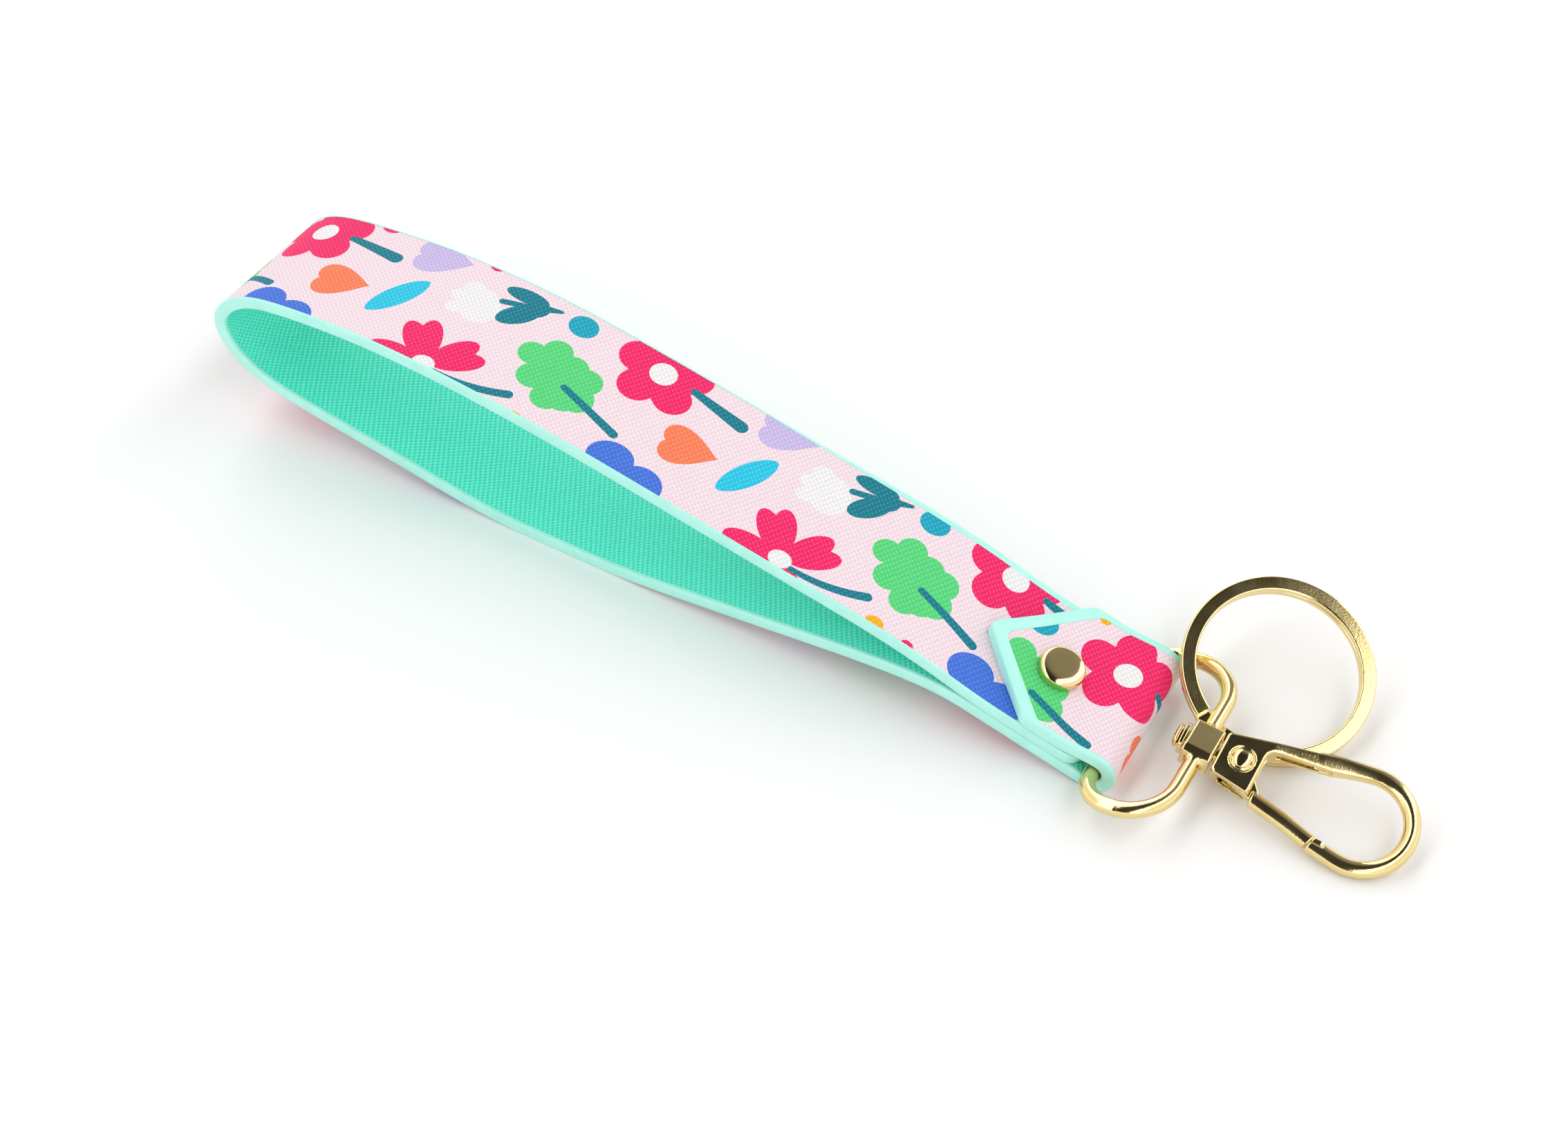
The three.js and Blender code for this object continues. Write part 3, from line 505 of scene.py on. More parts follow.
def flat_cut(outline, regions):
    """Cuts the flat strip into triangles that keep every station line and every outline, and gives
    the corners, the triangles and each triangle's region: 0 for the plain ground."""
    loops = [outline, *holes, *[shape for _, shape in regions]]
    grid = np.stack(np.meshgrid(stations[1:], ACROSS_ROWS, indexing="ij"), -1)
    points = np.concatenate([*loops, grid.reshape(-1, 2)])
    ends = np.cumsum([0] + [len(loop) for loop in loops])
    faces = [list(range(a, b)) for a, b in zip(ends[:-1], ends[1:])]
    number = np.arange(grid.shape[0] * grid.shape[1]).reshape(grid.shape[:2]) + ends[-1]
    edges = np.stack([number[:, :-1].ravel(), number[:, 1:].ravel()], 1).tolist()
    cut = delaunay_2d_cdt([Vector(p) for p in points], edges, faces, 0, MERGE_DISTANCE)
    corners = np.array([tuple(v) for v in cut[0]])
    kept, region = [], []
    for triangle, inside in zip(cut[2], cut[5]):
        if 0 in inside and not any(1 <= i <= len(holes) for i in inside):
            kept.append(triangle)
            region.append(max([i - len(holes) for i in inside]))
    return corners, np.array(kept), np.maximum(np.array(region), 0)


def strap_sheet(name, finish, regions=()):
    """One sheet: the flat cut carried onto the path at two depths, joined round its rims."""
    outline = strip_outline(SHEET_INSET, SHEET_INSET, SHEET_INSET)
    corners, triangles, region = flat_cut(outline, regions)
    used, flat = np.unique(triangles, return_inverse=True)
    corners, triangles = corners[used], flat.reshape(-1, 3)
    a, b, c = [corners[triangles[:, i]] for i in range(3)]
    area = (b[:, 0] - a[:, 0]) * (c[:, 1] - a[:, 1]) - (b[:, 1] - a[:, 1]) * (c[:, 0] - a[:, 0])
    triangles = np.where(area[:, None] > 0, triangles, triangles[:, ::-1])
    shallow, deep = SHEET_DEPTHS[name]
    count = len(corners)
    points = np.concatenate([on_strap(*corners.T, -shallow), on_strap(*corners.T, -deep)])
    edges = triangles[:, [0, 1, 1, 2, 2, 0]].reshape(-1, 2)
    key = edges[:, 0] * count + edges[:, 1]
    rim = edges[~np.isin(key, edges[:, 1] * count + edges[:, 0])]
    walls = np.stack([rim[:, 0], rim[:, 1], rim[:, 1] + count, rim[:, 0] + count], 1)
    top = triangles[:, ::-1]
    under = triangles + count
    faces = [*walls.tolist(), *top.tolist(), *under.tolist()]
    made = bpy.data.meshes.new(name)
    made.from_pydata(points / 1000, [], faces)
    made.polygons.foreach_set("use_smooth", np.ones(len(faces), bool))
    made.materials.append(finish)
    loops = np.zeros(len(made.loops), int)
    made.loops.foreach_get("vertex_index", loops)
    made.uv_layers.new(name="strip")
    made.uv_layers[0].data.foreach_set("uv", (corners[loops % count] / 1000).ravel())
    if regions:
        palette = np.array([linear(GROUND)] + [linear(colour) for colour, _ in regions])
        face_region = np.concatenate([np.zeros(len(walls), int), region, region])
        totals = np.array([polygon.loop_total for polygon in made.polygons])
        colours = palette[np.repeat(face_region, totals)]
        made.color_attributes.new("print", "FLOAT_COLOR", "CORNER")
        made.color_attributes["print"].data.foreach_set("color", colours.ravel())
    made.set_sharp_from_angle(angle=math.radians(50))
    piece = bpy.data.objects.new(name + "_sheet", made)
    scene.collection.objects.link(piece)
    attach(piece, "strap")
    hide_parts(name)
    return piece


# Embossed cross-grain: two sets of fine ridges pressed at a slant, one broken by the other.
# The pitches are drawn a little coarse, so that the grain shows from arm's length.
GRAIN_SETS = ((0.68, 41.0), (0.86, -61.0))
GRAIN_HEIGHT = 0.12


def ridge(tree, uv, pitch, slant, wander):
    """The height of one set of ridges: a sine across their slant, bent a little by noise."""
    angle = math.radians(slant + 90)
    steps = 2 * math.pi / (pitch / 1000)
    across = (math.cos(angle) * steps, math.sin(angle) * steps, 0)
    phase = add(tree, "VectorMath", {0: uv}, operation="DOT_PRODUCT", in_1=across)
    bent = add(tree, "Math", {0: phase.outputs["Value"], 1: wander}, operation="ADD")
    wave = add(tree, "Math", {0: bent}, operation="SINE")
    return add(tree, "MapRange", {"Value": wave}, in_From_Min=-1.0)


def grain(tree, strength):
    """Cross-grain from the strip's own coordinates: its relief, its crests and both sets mixed."""
    uv = add(tree, "UVMap", uv_map="strip")
    drift = add(tree, "TexNoise", {"Vector": uv}, in_Scale=260.0, in_Detail=2.0)
    wander = add(tree, "MapRange", {"Value": drift}, in_To_Min=-1.1, in_To_Max=1.1)
    mottle = add(tree, "TexNoise", {"Vector": uv}, in_Scale=900.0, in_Detail=3.0)
    sets = [ridge(tree, uv, pitch, slant, wander) for pitch, slant in GRAIN_SETS]
    crossed = add(tree, "Math", {0: sets[0], 1: sets[1]}, operation="MULTIPLY")
    both = add(tree, "Mix", {2: sets[0], 3: sets[1]}, in_0=0.55)
    rough = add(tree, "Math", {0: mottle}, operation="MULTIPLY", in_1=0.4)
    height = add(tree, "Math", {0: both, 1: rough}, operation="ADD")
    bump = add(tree, "Bump", {"Height": height}, in_Strength=strength,
               in_Distance=GRAIN_HEIGHT / 1000)
    return bump, crossed, both


# Printed coated leather: satin, with a painted highlight that pales the ink on top of each ridge, and
# painted shade that darkens it in the grain's valleys.
RIDGE_HIGHLIGHT = 0.08
VALLEY_SHADE = (0.75, 0.87)
printed, tree = material("printed_cross_grain_leather")
relief, crests, _ = grain(tree, 0.8)
ink = add(tree, "VertexColor", layer_name="print").outputs["Color"]
# Painted highlight: the ink is mixed towards pale pink on top of each ridge.
ridge_highlight = add(tree, "MapRange", {"Value": crests}, in_From_Min=0.4, in_To_Max=RIDGE_HIGHLIGHT)
highlighted_ink = add(tree, "Mix", {0: ridge_highlight, 6: ink}, data_type="RGBA", in_7=linear("#FFF4F6")).outputs[2]
# Painted shade: the ink is darkened in the grain's valleys, and the same scale lowers it overall.
painted_valley_shade = add(tree, "MapRange", {"Value": crests}, in_From_Max=0.3,
             in_To_Min=VALLEY_SHADE[0], in_To_Max=VALLEY_SHADE[1])
shaded = add(tree, "VectorMath", {0: highlighted_ink, 3: painted_valley_shade}, operation="SCALE")
skin = add(tree, "BsdfPrincipled", {"Base Color": shaded, "Normal": relief}, in_Roughness=0.6)
skin.inputs["Specular IOR Level"].default_value = 0.2
add(tree, "OutputMaterial", {"Surface": skin})

# Mint leather: the same cross-grain, dyed through, with painted shade in the valleys and a painted
# highlight on the ridges. Both colours are set brighter than the leather, as painted light against the
# shade inside the loop.
MINT_VALLEY_SHADE = "#19D6B4"
MINT_RIDGE_HIGHLIGHT = "#7AF2E2"
mint_leather, tree = material("mint_cross_grain_leather")
relief, _, ridge_light_mask = grain(tree, 1.0)
# Painted light: dark mint as shade in the valleys and pale mint as highlight on the ridges.
painted_ridge_light = add(tree, "Mix", {0: ridge_light_mask}, data_type="RGBA",
          in_6=linear(MINT_VALLEY_SHADE), in_7=linear(MINT_RIDGE_HIGHLIGHT)).outputs[2]
skin = add(tree, "BsdfPrincipled", {"Base Color": painted_ridge_light, "Normal": relief}, in_Roughness=0.5)
skin.inputs["Specular IOR Level"].default_value = 0.4
add(tree, "OutputMaterial", {"Surface": skin})

# Bonded fibre board: matt, with short pressed fibres.
fibre, tree = material("bonded_fibre_board")
place = add(tree, "TexCoord").outputs["Object"]
flecks = add(tree, "TexNoise", {"Vector": place}, in_Scale=2400.0, in_Detail=4.0)
tone = add(tree, "Mix", {0: flecks}, data_type="RGBA",
           in_6=linear("#BEB7A6"), in_7=linear("#E2DCCD")).outputs[2]
board = add(tree, "BsdfPrincipled", {"Base Color": tone}, in_Roughness=0.9)
add(tree, "OutputMaterial", {"Surface": board})

strap_sheet("strap_outer", printed, print_regions())
strap_sheet("strap_core", fibre)
strap_sheet("strap_lining", mint_leather)

# ---- edge paint: two thick coats of mint over all the strip's cut edges ----
# It wraps from the printed face round the three sheets onto the lining, in one smooth bead that
# widens on the far edge near the rivet and most of all round the tab's point.

PAINT_NEAR = 0.5
PAINT_NEAR_EXTRA = 0.5
PAINT_FAR = 0.45
PAINT_FAR_WIDE = 1.35
PAINT_POINT = 2.3
PAINT_PROUD = 0.11
PAINT_STACKED = 0.035
PAINT_LIP = 0.75
PAINT_WIDE_TO, PAINT_WIDE_FADE = 25, 60
PAINT_TAB_FROM, PAINT_TAB_FADE = 45, 20
PAINT_COVERED_TO, PAINT_COVERED_FADE = 30, 6


def wound_faces(rows, columns, closed):
    """Quads between neighbouring rows of a grid whose columns go round. A closed grid's last row
    joins its first."""
    i, j = np.meshgrid(np.arange(rows if closed else rows - 1), np.arange(columns), indexing="ij")
    i_next, j_next = (i + 1) % rows, (j + 1) % columns
    quads = [i * columns + j, i * columns + j_next, i_next * columns + j_next, i_next * columns + j]
    return np.stack(quads, -1).reshape(-1, 4)


def paint_insets():
    """How far the paint reaches over the printed face, at the near and far side stations."""
    wide = 1 - eased((side_stations - PAINT_WIDE_TO) / PAINT_WIDE_FADE)
    tab = eased((side_stations - (strap_length - PAINT_TAB_FROM)) / PAINT_TAB_FADE)
    near = PAINT_NEAR + PAINT_NEAR_EXTRA * tab
    far = PAINT_FAR + (PAINT_FAR_WIDE - PAINT_FAR) * np.maximum(wide, tab)
    return near, far


def paint_bead():
    """A closed skin over the edge: at each outline point a section goes from the lip on the
    printed face, round the edge, to the lip on the lining, and back inside the sheets."""
    near, far = paint_insets()
    edge = strip_outline(0.0, 0.0, 0.0)
    lip = strip_outline(near, far, PAINT_POINT)
    inward = lip - edge
    wrap = np.linalg.norm(inward, axis=1)[:, None]
    inward = inward / wrap
    covered = 1 - eased((edge[:, :1] - PAINT_COVERED_TO) / PAINT_COVERED_FADE)
    proud = PAINT_PROUD + (PAINT_STACKED - PAINT_PROUD) * covered
    under = PAINT_STACKED
    depth = STRAP_THICKNESS
    section = [
        (wrap, -0.08), (wrap - 0.03, 0.6 * proud), (wrap - 0.12, 0.97 * proud), (0.4, proud),
        (0.2, proud - 0.04), (0.06, proud - 0.16), (0.0, -0.4), (-0.04, -depth / 2),
        (0.0, 0.4 - depth), (0.06, 0.16 - under - depth), (0.2, 0.04 - under - depth),
        (0.4, -under - depth), (PAINT_LIP - 0.12, -0.97 * under - depth),
        (PAINT_LIP - 0.03, -0.5 * under - depth), (PAINT_LIP, 0.08 - depth),
        (0.42, 0.5 - depth), (0.42, -0.4),
    ]
    rings = [on_strap(*(edge + inward * reach).T, (height + 0 * wrap)[:, 0]) for reach, height in section]
    points = np.stack(rings, 1)
    faces = wound_faces(*points.shape[:2], True)[:, [0, 3, 2, 1]]
    return points.reshape(-1, 3), faces.tolist()


# Acrylic edge paint: satin plastic, faintly uneven where the coats pooled.
paint, tree = material("mint_edge_paint")
place = add(tree, "TexCoord").outputs["Object"]
pooled = add(tree, "TexNoise", {"Vector": place}, in_Scale=350.0, in_Detail=2.0)
tone = add(tree, "Mix", {0: pooled}, data_type="RGBA",
           in_6=linear("#9DE1D2"), in_7=linear("#B2EEE2")).outputs[2]
uneven = add(tree, "Bump", {"Height": pooled}, in_Strength=0.35, in_Distance=0.0001)
coat = add(tree, "BsdfPrincipled", {"Base Color": tone, "Normal": uneven}, in_Roughness=0.38)
add(tree, "OutputMaterial", {"Surface": coat})

bead_points, bead_faces = paint_bead()
edge_paint = mesh_piece("edge_paint_bead", bead_points, bead_faces, paint, 60)
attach(edge_paint, "strap")

# ---- rivet: a post with a back cap below, and a domed cap whose stud is pressed into the post ----
# Both halves are pressed brass, plated with pale gold. The cap's top is nearly flat, and its rim
# rolls over in a small radius that catches the light.

CAP_RADIUS = 4.0
CAP_HEIGHT = 1.9
BACK_CAP_HEIGHT = 1.1
POST_RADIUS = 1.3
POST_BORE_RADIUS = 0.95
POST_FLOOR = 0.4
POST_RECESS = 0.6
STUD_RADIUS = 0.65
STUD_START = 1.2
SEAT = 0.1
LATHE_SIDES = 96
SHOULDER = 0.04


def shouldered(profile, closed=False):
    """Adds a point just inside both ends of each long side, so that flats stay flat to the light
    where they meet a round."""
    profile = np.asarray(profile, float)
    ends = np.concatenate([profile, profile[:1]]) if closed else profile
    points = []
    for a, b in zip(ends[:-1], ends[1:]):
        points.append(a)
        length = np.linalg.norm(b - a)
        if length > 4 * SHOULDER:
            points.extend([a + (b - a) * SHOULDER / length, b + (a - b) * SHOULDER / length])
    if not closed:
        points.append(ends[-1])
    return np.array(points)


def turned(profile, place, axis_x, axis_z):
    """A turned piece: a profile of (radius, height) pairs carried round the height axis. A profile
    that starts and ends on the axis has one point at each pole; any other closes on itself."""
    profile = np.asarray(profile, float)
    capped = profile[0, 0] == 0
    profile = shouldered(profile, not capped)
    axis_y = np.cross(axis_z, axis_x)
    angle = np.arange(LATHE_SIDES) * 2 * math.pi / LATHE_SIDES
    spokes = np.outer(np.cos(angle), axis_x) + np.outer(np.sin(angle), axis_y)
    rings = profile[1:-1] if capped else profile
    grid = rings[:, None, :1] * spokes + rings[:, None, 1:] * np.asarray(axis_z)
    count = len(rings)
    faces = wound_faces(count, LATHE_SIDES, not capped).tolist()
    points = grid.reshape(-1, 3)
    if capped:
        poles = profile[[0, -1], 1:] * np.asarray(axis_z)
        points = np.concatenate([points, poles])
        low, high = len(points) - 2, len(points) - 1
        last = (count - 1) * LATHE_SIDES
        faces += [(low, (k + 1) % LATHE_SIDES, k) for k in range(LATHE_SIDES)]
        faces += [(high, last + k, last + (k + 1) % LATHE_SIDES) for k in range(LATHE_SIDES)]
    return points + np.asarray(place), faces


def pillow(radius, base, height, squareness, steps=22):
    """Profile of a pressed cap, from its rim to its middle: a superellipse quarter."""
    angle = np.linspace(0, math.pi / 2, steps)
    r = radius * np.cos(angle) ** (2 / squareness)
    h = base + height * np.sin(angle) ** (2 / squareness)
    r[-1] = 0
    return np.stack([r, h], 1)


def fillet(profile, radius, steps=5):
    """Rounds the inner corners of a profile with short parabolas, so that turned edges catch light."""
    profile = np.asarray(profile, float)
    out_points = [profile[0]]
    for before, corner, after in zip(profile[:-2], profile[1:-1], profile[2:]):
        back, ahead = np.linalg.norm(before - corner), np.linalg.norm(after - corner)
        reach = min(radius, back * 0.45, ahead * 0.45)
        start = corner + (before - corner) / back * reach
        end = corner + (after - corner) / ahead * reach
        t = np.linspace(0, 1, steps)[:, None]
        out_points.extend((1 - t) ** 2 * start + 2 * t * (1 - t) * corner + t**2 * end)
    out_points.append(profile[-1])
    return np.array(out_points)


# Gold-plated zinc and brass: bright and polished, with fine pits and faint wear to the plating.
PALE_GOLD = "#EFDCA6"
WARM_GOLD = "#E6CB86"


def gold_plate(name, roughness, pitting):
    made, tree = material(name)
    place = add(tree, "TexCoord").outputs["Object"]
    patches = add(tree, "TexNoise", {"Vector": place}, in_Scale=220.0, in_Detail=4.0)
    pits = add(tree, "TexNoise", {"Vector": place}, in_Scale=2600.0, in_Detail=3.0)
    tone = add(tree, "Mix", {0: patches}, data_type="RGBA",
               in_6=linear(WARM_GOLD), in_7=linear(PALE_GOLD)).outputs[2]
    polish = add(tree, "MapRange", {"Value": patches},
                 in_To_Min=roughness * 0.7, in_To_Max=roughness * 1.5)
    relief = add(tree, "Bump", {"Height": pits}, in_Strength=pitting, in_Distance=0.00006)
    metal = add(tree, "BsdfPrincipled",
                {"Base Color": tone, "Roughness": polish, "Normal": relief}, in_Metallic=1.0)
    add(tree, "OutputMaterial", {"Surface": metal})
    return made


polished_gold = gold_plate("polished_gold_plate", 0.08, 0.06)
cast_gold = gold_plate("cast_gold_plate", 0.13, 0.2)

rivet_x = np.array([stack_along[0], 0, stack_along[1]])
rivet_z = np.array([stack_up[0], 0, stack_up[1]])
bar_place = strap_origin + (bar_centre[0], 0, bar_centre[1])
rivet_place = bar_place + rivet_x * RIVET_AT + np.array([0, RIVET_SIDE, 0])
back_cap = -FOLD_RADIUS - SEAT
post_top = settled_height - POST_RECESS
post_profile = np.concatenate([
    pillow(CAP_RADIUS, back_cap, -BACK_CAP_HEIGHT, 3.2)[::-1],
    fillet([(CAP_RADIUS, back_cap), (POST_RADIUS, back_cap), (POST_RADIUS, post_top),
            (POST_BORE_RADIUS, post_top), (POST_BORE_RADIUS, back_cap + POST_FLOOR),
            (0, back_cap + POST_FLOOR)], 0.12)[1:],
])
rivet_post = mesh_piece("rivet_post_turned", *turned(post_profile, rivet_place, rivet_x, rivet_z),
                        polished_gold, 50)
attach(rivet_post, "strap")
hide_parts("rivet_post")

cap_base = settled_height + SEAT
cap_profile = np.concatenate([
    fillet([(0, back_cap + STUD_START), (STUD_RADIUS, back_cap + STUD_START), (STUD_RADIUS, cap_base),
            (CAP_RADIUS, cap_base)], 0.12),
    pillow(CAP_RADIUS, cap_base + 0.15, CAP_HEIGHT - 0.15, 5.2, 36),
])
rivet_cap = mesh_piece("rivet_cap_pressed", *turned(cap_profile, rivet_place, rivet_x, rivet_z),
                       polished_gold, 60)
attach(rivet_cap, "strap")
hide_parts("rivet_cap")

# ---- swivel bail: a cast loop of round wire, its bar in the fold and a bored boss across from it ----
# Zinc casting, tumbled and gold plated. The boss is a short block with broken edges, and the wire
# runs into it on both sides in a soft fillet.

WIRE_RADIUS = 1.4
BAIL_DEPTH = 14.0
BAIL_HALF_WIDTH = 17.85
NEAR_CORNER, FAR_CORNER, BOSS_CORNER = 5.0, 3.0, 8.0
BAIL_PITCH = math.radians(9.5)
BOSS_HALF = (2.5, 3.7, 2.6)
BOSS_BEVEL = 0.9
BOSS_FILLET = 0.9
BOSS_BORE_RADIUS = 1.5
CAST_CELL = 0.2


def smooth_min(a, b, blend):
    """The lesser of two distances, with a round fillet where they are within blend of each other."""
    h = np.maximum(blend - np.abs(a - b), 0) / blend
    return np.minimum(a, b) - h * h * blend / 4


def smooth_max(a, b, blend):
    return -smooth_min(-a, -b, blend)


def box_distance(p, centre, half, radius=0.0):
    """Distance to a box with edges rounded by radius."""
    q = np.abs(p - centre) - (np.asarray(half) - radius)
    return np.linalg.norm(np.maximum(q, 0), axis=-1) + np.minimum(q.max(-1), 0) - radius


def line_distance(p, a, b):
    """Distance to the straight segment from a to b."""
    a, b = np.asarray(a, float), np.asarray(b, float)
    t = np.clip((p - a) @ (b - a) / ((b - a) @ (b - a)), 0, 1)
    return np.linalg.norm(p - a - t[:, None] * (b - a), axis=-1)


def cast_skin(distance, low, high, cell=CAST_CELL):
    """Skin of a cast solid, where distance(points) is zero: one vertex for each crossed cell of a
    grid, at the mean of its edges' crossings, joined by a quad across each crossed grid edge, then
    slid along the distance's slope onto the surface itself."""
    axes = [np.arange(a - 1.5 * cell, b + 2.5 * cell, cell) for a, b in zip(low, high)]
    grid = np.stack(np.meshgrid(*axes, indexing="ij"), -1)
    value = distance(grid.reshape(-1, 3)).reshape(grid.shape[:3])
    size = np.array(value.shape) - 1
    corner = [(x, y, z) for x in (0, 1) for y in (0, 1) for z in (0, 1)]
    at = {c: value[c[0]:c[0] + size[0], c[1]:c[1] + size[1], c[2]:c[2] + size[2]] for c in corner}
    total = np.zeros((*size, 3))
    hits = np.zeros(size)
    for axis in range(3):
        for start in [c for c in corner if c[axis] == 0]:
            end = tuple(1 if k == axis else c for k, c in enumerate(start))
            a, b = at[start], at[end]
            crossed = (a < 0) != (b < 0)
            share = np.where(crossed, a / np.where(crossed, a - b, 1), 0)
            for k in range(3):
                total[..., k] += np.where(crossed, start[k] + (share if k == axis else 0), 0)
            hits += crossed
    mixed = hits > 0
    number = np.full(size, -1)
    number[mixed] = np.arange(mixed.sum())
    base = np.stack(np.nonzero(mixed), 1)
    points = np.array([axis[0] for axis in axes]) + (base + total[mixed] / hits[mixed][:, None]) * cell
    quads = []
    for axis in range(3):
        u, v = (axis + 1) % 3, (axis + 2) % 3
        du, dv, step = np.eye(3, dtype=int)[[u, v, axis]]
        here, there = at[0, 0, 0], at[tuple(step)]
        for leaving in (True, False):
            crossed = (here < 0) & (there >= 0) if leaving else (here >= 0) & (there < 0)
            cells = np.stack(np.nonzero(crossed), 1)
            cells = cells[(cells[:, u] > 0) & (cells[:, v] > 0)]
            ring = [cells, cells - du, cells - du - dv, cells - dv]
            quad = np.stack([number[tuple(c.T)] for c in ring], 1)
            quads.append(quad if leaving else quad[:, ::-1])
    nudge = cell * 0.02
    for _ in range(3):
        here = distance(points)
        slope = np.stack([(distance(points + nudge * unit) - here) / nudge for unit in np.eye(3)], 1)
        steep = np.maximum((slope**2).sum(1, keepdims=True), 0.2)
        move = np.clip(here[:, None] * slope / steep, -cell / 2, cell / 2)
        points = points - move
    return points, np.concatenate(quads).tolist()


def placed(points, origin, axes):
    """Local points to the row frame: axes are the local X, Y and Z directions as rows."""
    return points @ np.asarray(axes) + origin


def turned_axes(*turns):
    """Local axes as rows after turns about the moving axes, each ('x', 'y' or 'z', radians)."""
    spin = Matrix.Identity(3)
    for axis, angle in turns:
        spin = spin @ Matrix.Rotation(angle, 3, axis.upper())
    return np.array(spin.transposed())


clasp_axis = np.array(joints["clasp_swivel"]["axis"])
clasp_pitch = math.atan2(-clasp_axis[2], clasp_axis[0])
boss_turn = Matrix.Rotation(BAIL_PITCH + clasp_pitch, 3, "Y")
to_boss = np.array(boss_turn)


def bail_distance(p):
    """Distance to the wire loop, a rectangle with its own radius at each corner, joined to the
    boss, a box with broken edges, less the boss's bore."""
    middle = BAIL_DEPTH / 2
    x, y = p[:, 0] - middle, p[:, 1]
    corner = np.where(x > 0, BOSS_CORNER, np.where(y > 0, FAR_CORNER, NEAR_CORNER))
    qx = np.abs(x) - middle + corner
    qy = np.abs(y) - BAIL_HALF_WIDTH + corner
    flat = (np.hypot(np.maximum(qx, 0), np.maximum(qy, 0))
            + np.minimum(np.maximum(qx, qy), 0) - corner)
    wire = np.hypot(flat, p[:, 2]) - WIRE_RADIUS
    local = (p - (BAIL_DEPTH, 0, 0)) @ to_boss
    block = box_distance(local, 0, BOSS_HALF, 0.35)
    chamfer = BOSS_HALF[1] + BOSS_HALF[2] - BOSS_BEVEL
    broken = (np.abs(local[:, 1]) + np.abs(local[:, 2]) - chamfer) / math.sqrt(2)
    block = smooth_max(block, broken, 0.25)
    solid = smooth_min(wire, block, BOSS_FILLET)
    bore = np.hypot(local[:, 1], local[:, 2]) - BOSS_BORE_RADIUS
    return smooth_max(solid, -bore, 0.2)


bail_axes = turned_axes(("y", -BAIL_PITCH))
skin_points, skin_faces = cast_skin(
    bail_distance, (-WIRE_RADIUS, -BAIL_HALF_WIDTH - WIRE_RADIUS, -3.6),
    (BAIL_DEPTH + 3.4, BAIL_HALF_WIDTH + WIRE_RADIUS, 3.6))
bail = mesh_piece("swivel_bail_cast", placed(skin_points, bar_row, bail_axes), skin_faces, cast_gold, 60)
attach(bail, "bail")
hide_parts("swivel_bail")

# ---- swivel pin and washer: the clasp's tail goes through the boss and is headed over a washer ----
# Both are turned brass, gold plated. The head's rim is peened round, and the washer stands
# between it and the boss.

SHAFT_RADIUS = 1.2
PIN_HEAD_RADIUS = 2.1
WASHER_RADIUS = 2.7
PIN_HEAD_X = (-4.75, -3.85)
WASHER_X = (-3.55, -2.8)
SHAFT_END = 4.3
SWIVEL_GAP = 0.3
clasp_row = joint_place("clasp_swivel")
gate_axis = np.array(joints["gate_open"]["axis"])
clasp_x = clasp_axis / np.linalg.norm(clasp_axis)
clasp_z = gate_axis / np.linalg.norm(gate_axis)
clasp_y = np.cross(clasp_z, clasp_x)
clasp_axes = np.array([clasp_x, clasp_y, clasp_z])

head_from, head_to = PIN_HEAD_X
pin_profile = fillet([
    (0, head_from), (PIN_HEAD_RADIUS * 0.72, head_from), (PIN_HEAD_RADIUS, head_from + 0.35),
    (PIN_HEAD_RADIUS, head_to), (SHAFT_RADIUS, head_to), (SHAFT_RADIUS, SHAFT_END), (0, SHAFT_END),
], 0.22)
swivel_pin = mesh_piece("swivel_pin_turned", *turned(pin_profile, clasp_row, clasp_y, clasp_x),
                        polished_gold, 50)
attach(swivel_pin, "clasp")
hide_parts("swivel_pin")

washer_hole = SHAFT_RADIUS + SWIVEL_GAP
washer_middle = sum(WASHER_X) / 2
washer_loop = fillet([
    (WASHER_RADIUS, washer_middle), (WASHER_RADIUS, WASHER_X[1]), (washer_hole, WASHER_X[1]),
    (washer_hole, WASHER_X[0]), (WASHER_RADIUS, WASHER_X[0]), (WASHER_RADIUS, washer_middle),
], 0.2)[:-1]
swivel_washer = mesh_piece("swivel_washer_turned", *turned(washer_loop, clasp_row, clasp_y, clasp_x),
                           polished_gold, 50)
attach(swivel_washer, "clasp")
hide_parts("swivel_washer")

# ---- clasp body: a flat forked housing that thins into an arm and bends round as the hook ----
# One zinc casting, gold plated. The fork takes the gate's hub, the arm's inner wall has a long
# moulded pocket, and the hook ends in a notched nose that the gate's tongue closes into.

HOUSING_HALF = 2.6
HOUSING_FRONT = 10.2
SLOT_HALF = 1.3
SLOT_BACK = 4.6
SLOT_SIDE = 3.4
ARM_THIN_FROM, ARM_THIN_TO, ARM_THIN_HALF = 10.7, 28.1, 0.85
HOOK_CENTRE = (28.1, 0.85)
HOOK_RADIUS = 8.1
HOOK_BAR = 1.45
GATE_PIVOT = (6.9, 0.4)
PIVOT_BORE = 1.0
PIN_GROOVE = (1.75, 2.15, 0.25)
POCKET_MIDDLE = (16, 4.9, 0)
POCKET_HALF = (4.75, 1.1, 0.8)
POCKET_TURN = 0.19
SEAM_RADIUS = 17.2
FAR_ARM = HOOK_CENTRE[1] + HOOK_RADIUS
NEAR_ARM = HOOK_CENTRE[1] - HOOK_RADIUS
SEAM_X = GATE_PIVOT[0] + math.sqrt(SEAM_RADIUS**2 - (NEAR_ARM - GATE_PIVOT[1]) ** 2)
PLAN = [(3.0, -3.1), (3.6, -3.7), (9.8, -4.4), (10.2, -4.0), (10.2, 2.5), (10.35, 3.25), (10.9, 3.85),
        (12.2, 4.3), (20.6, 5.75), (28.1, 8.3), (28.1, 9.4), (21.5, 8.8), (10.2, 5.6), (3.3, 3.7),
        (3.0, 3.3)]


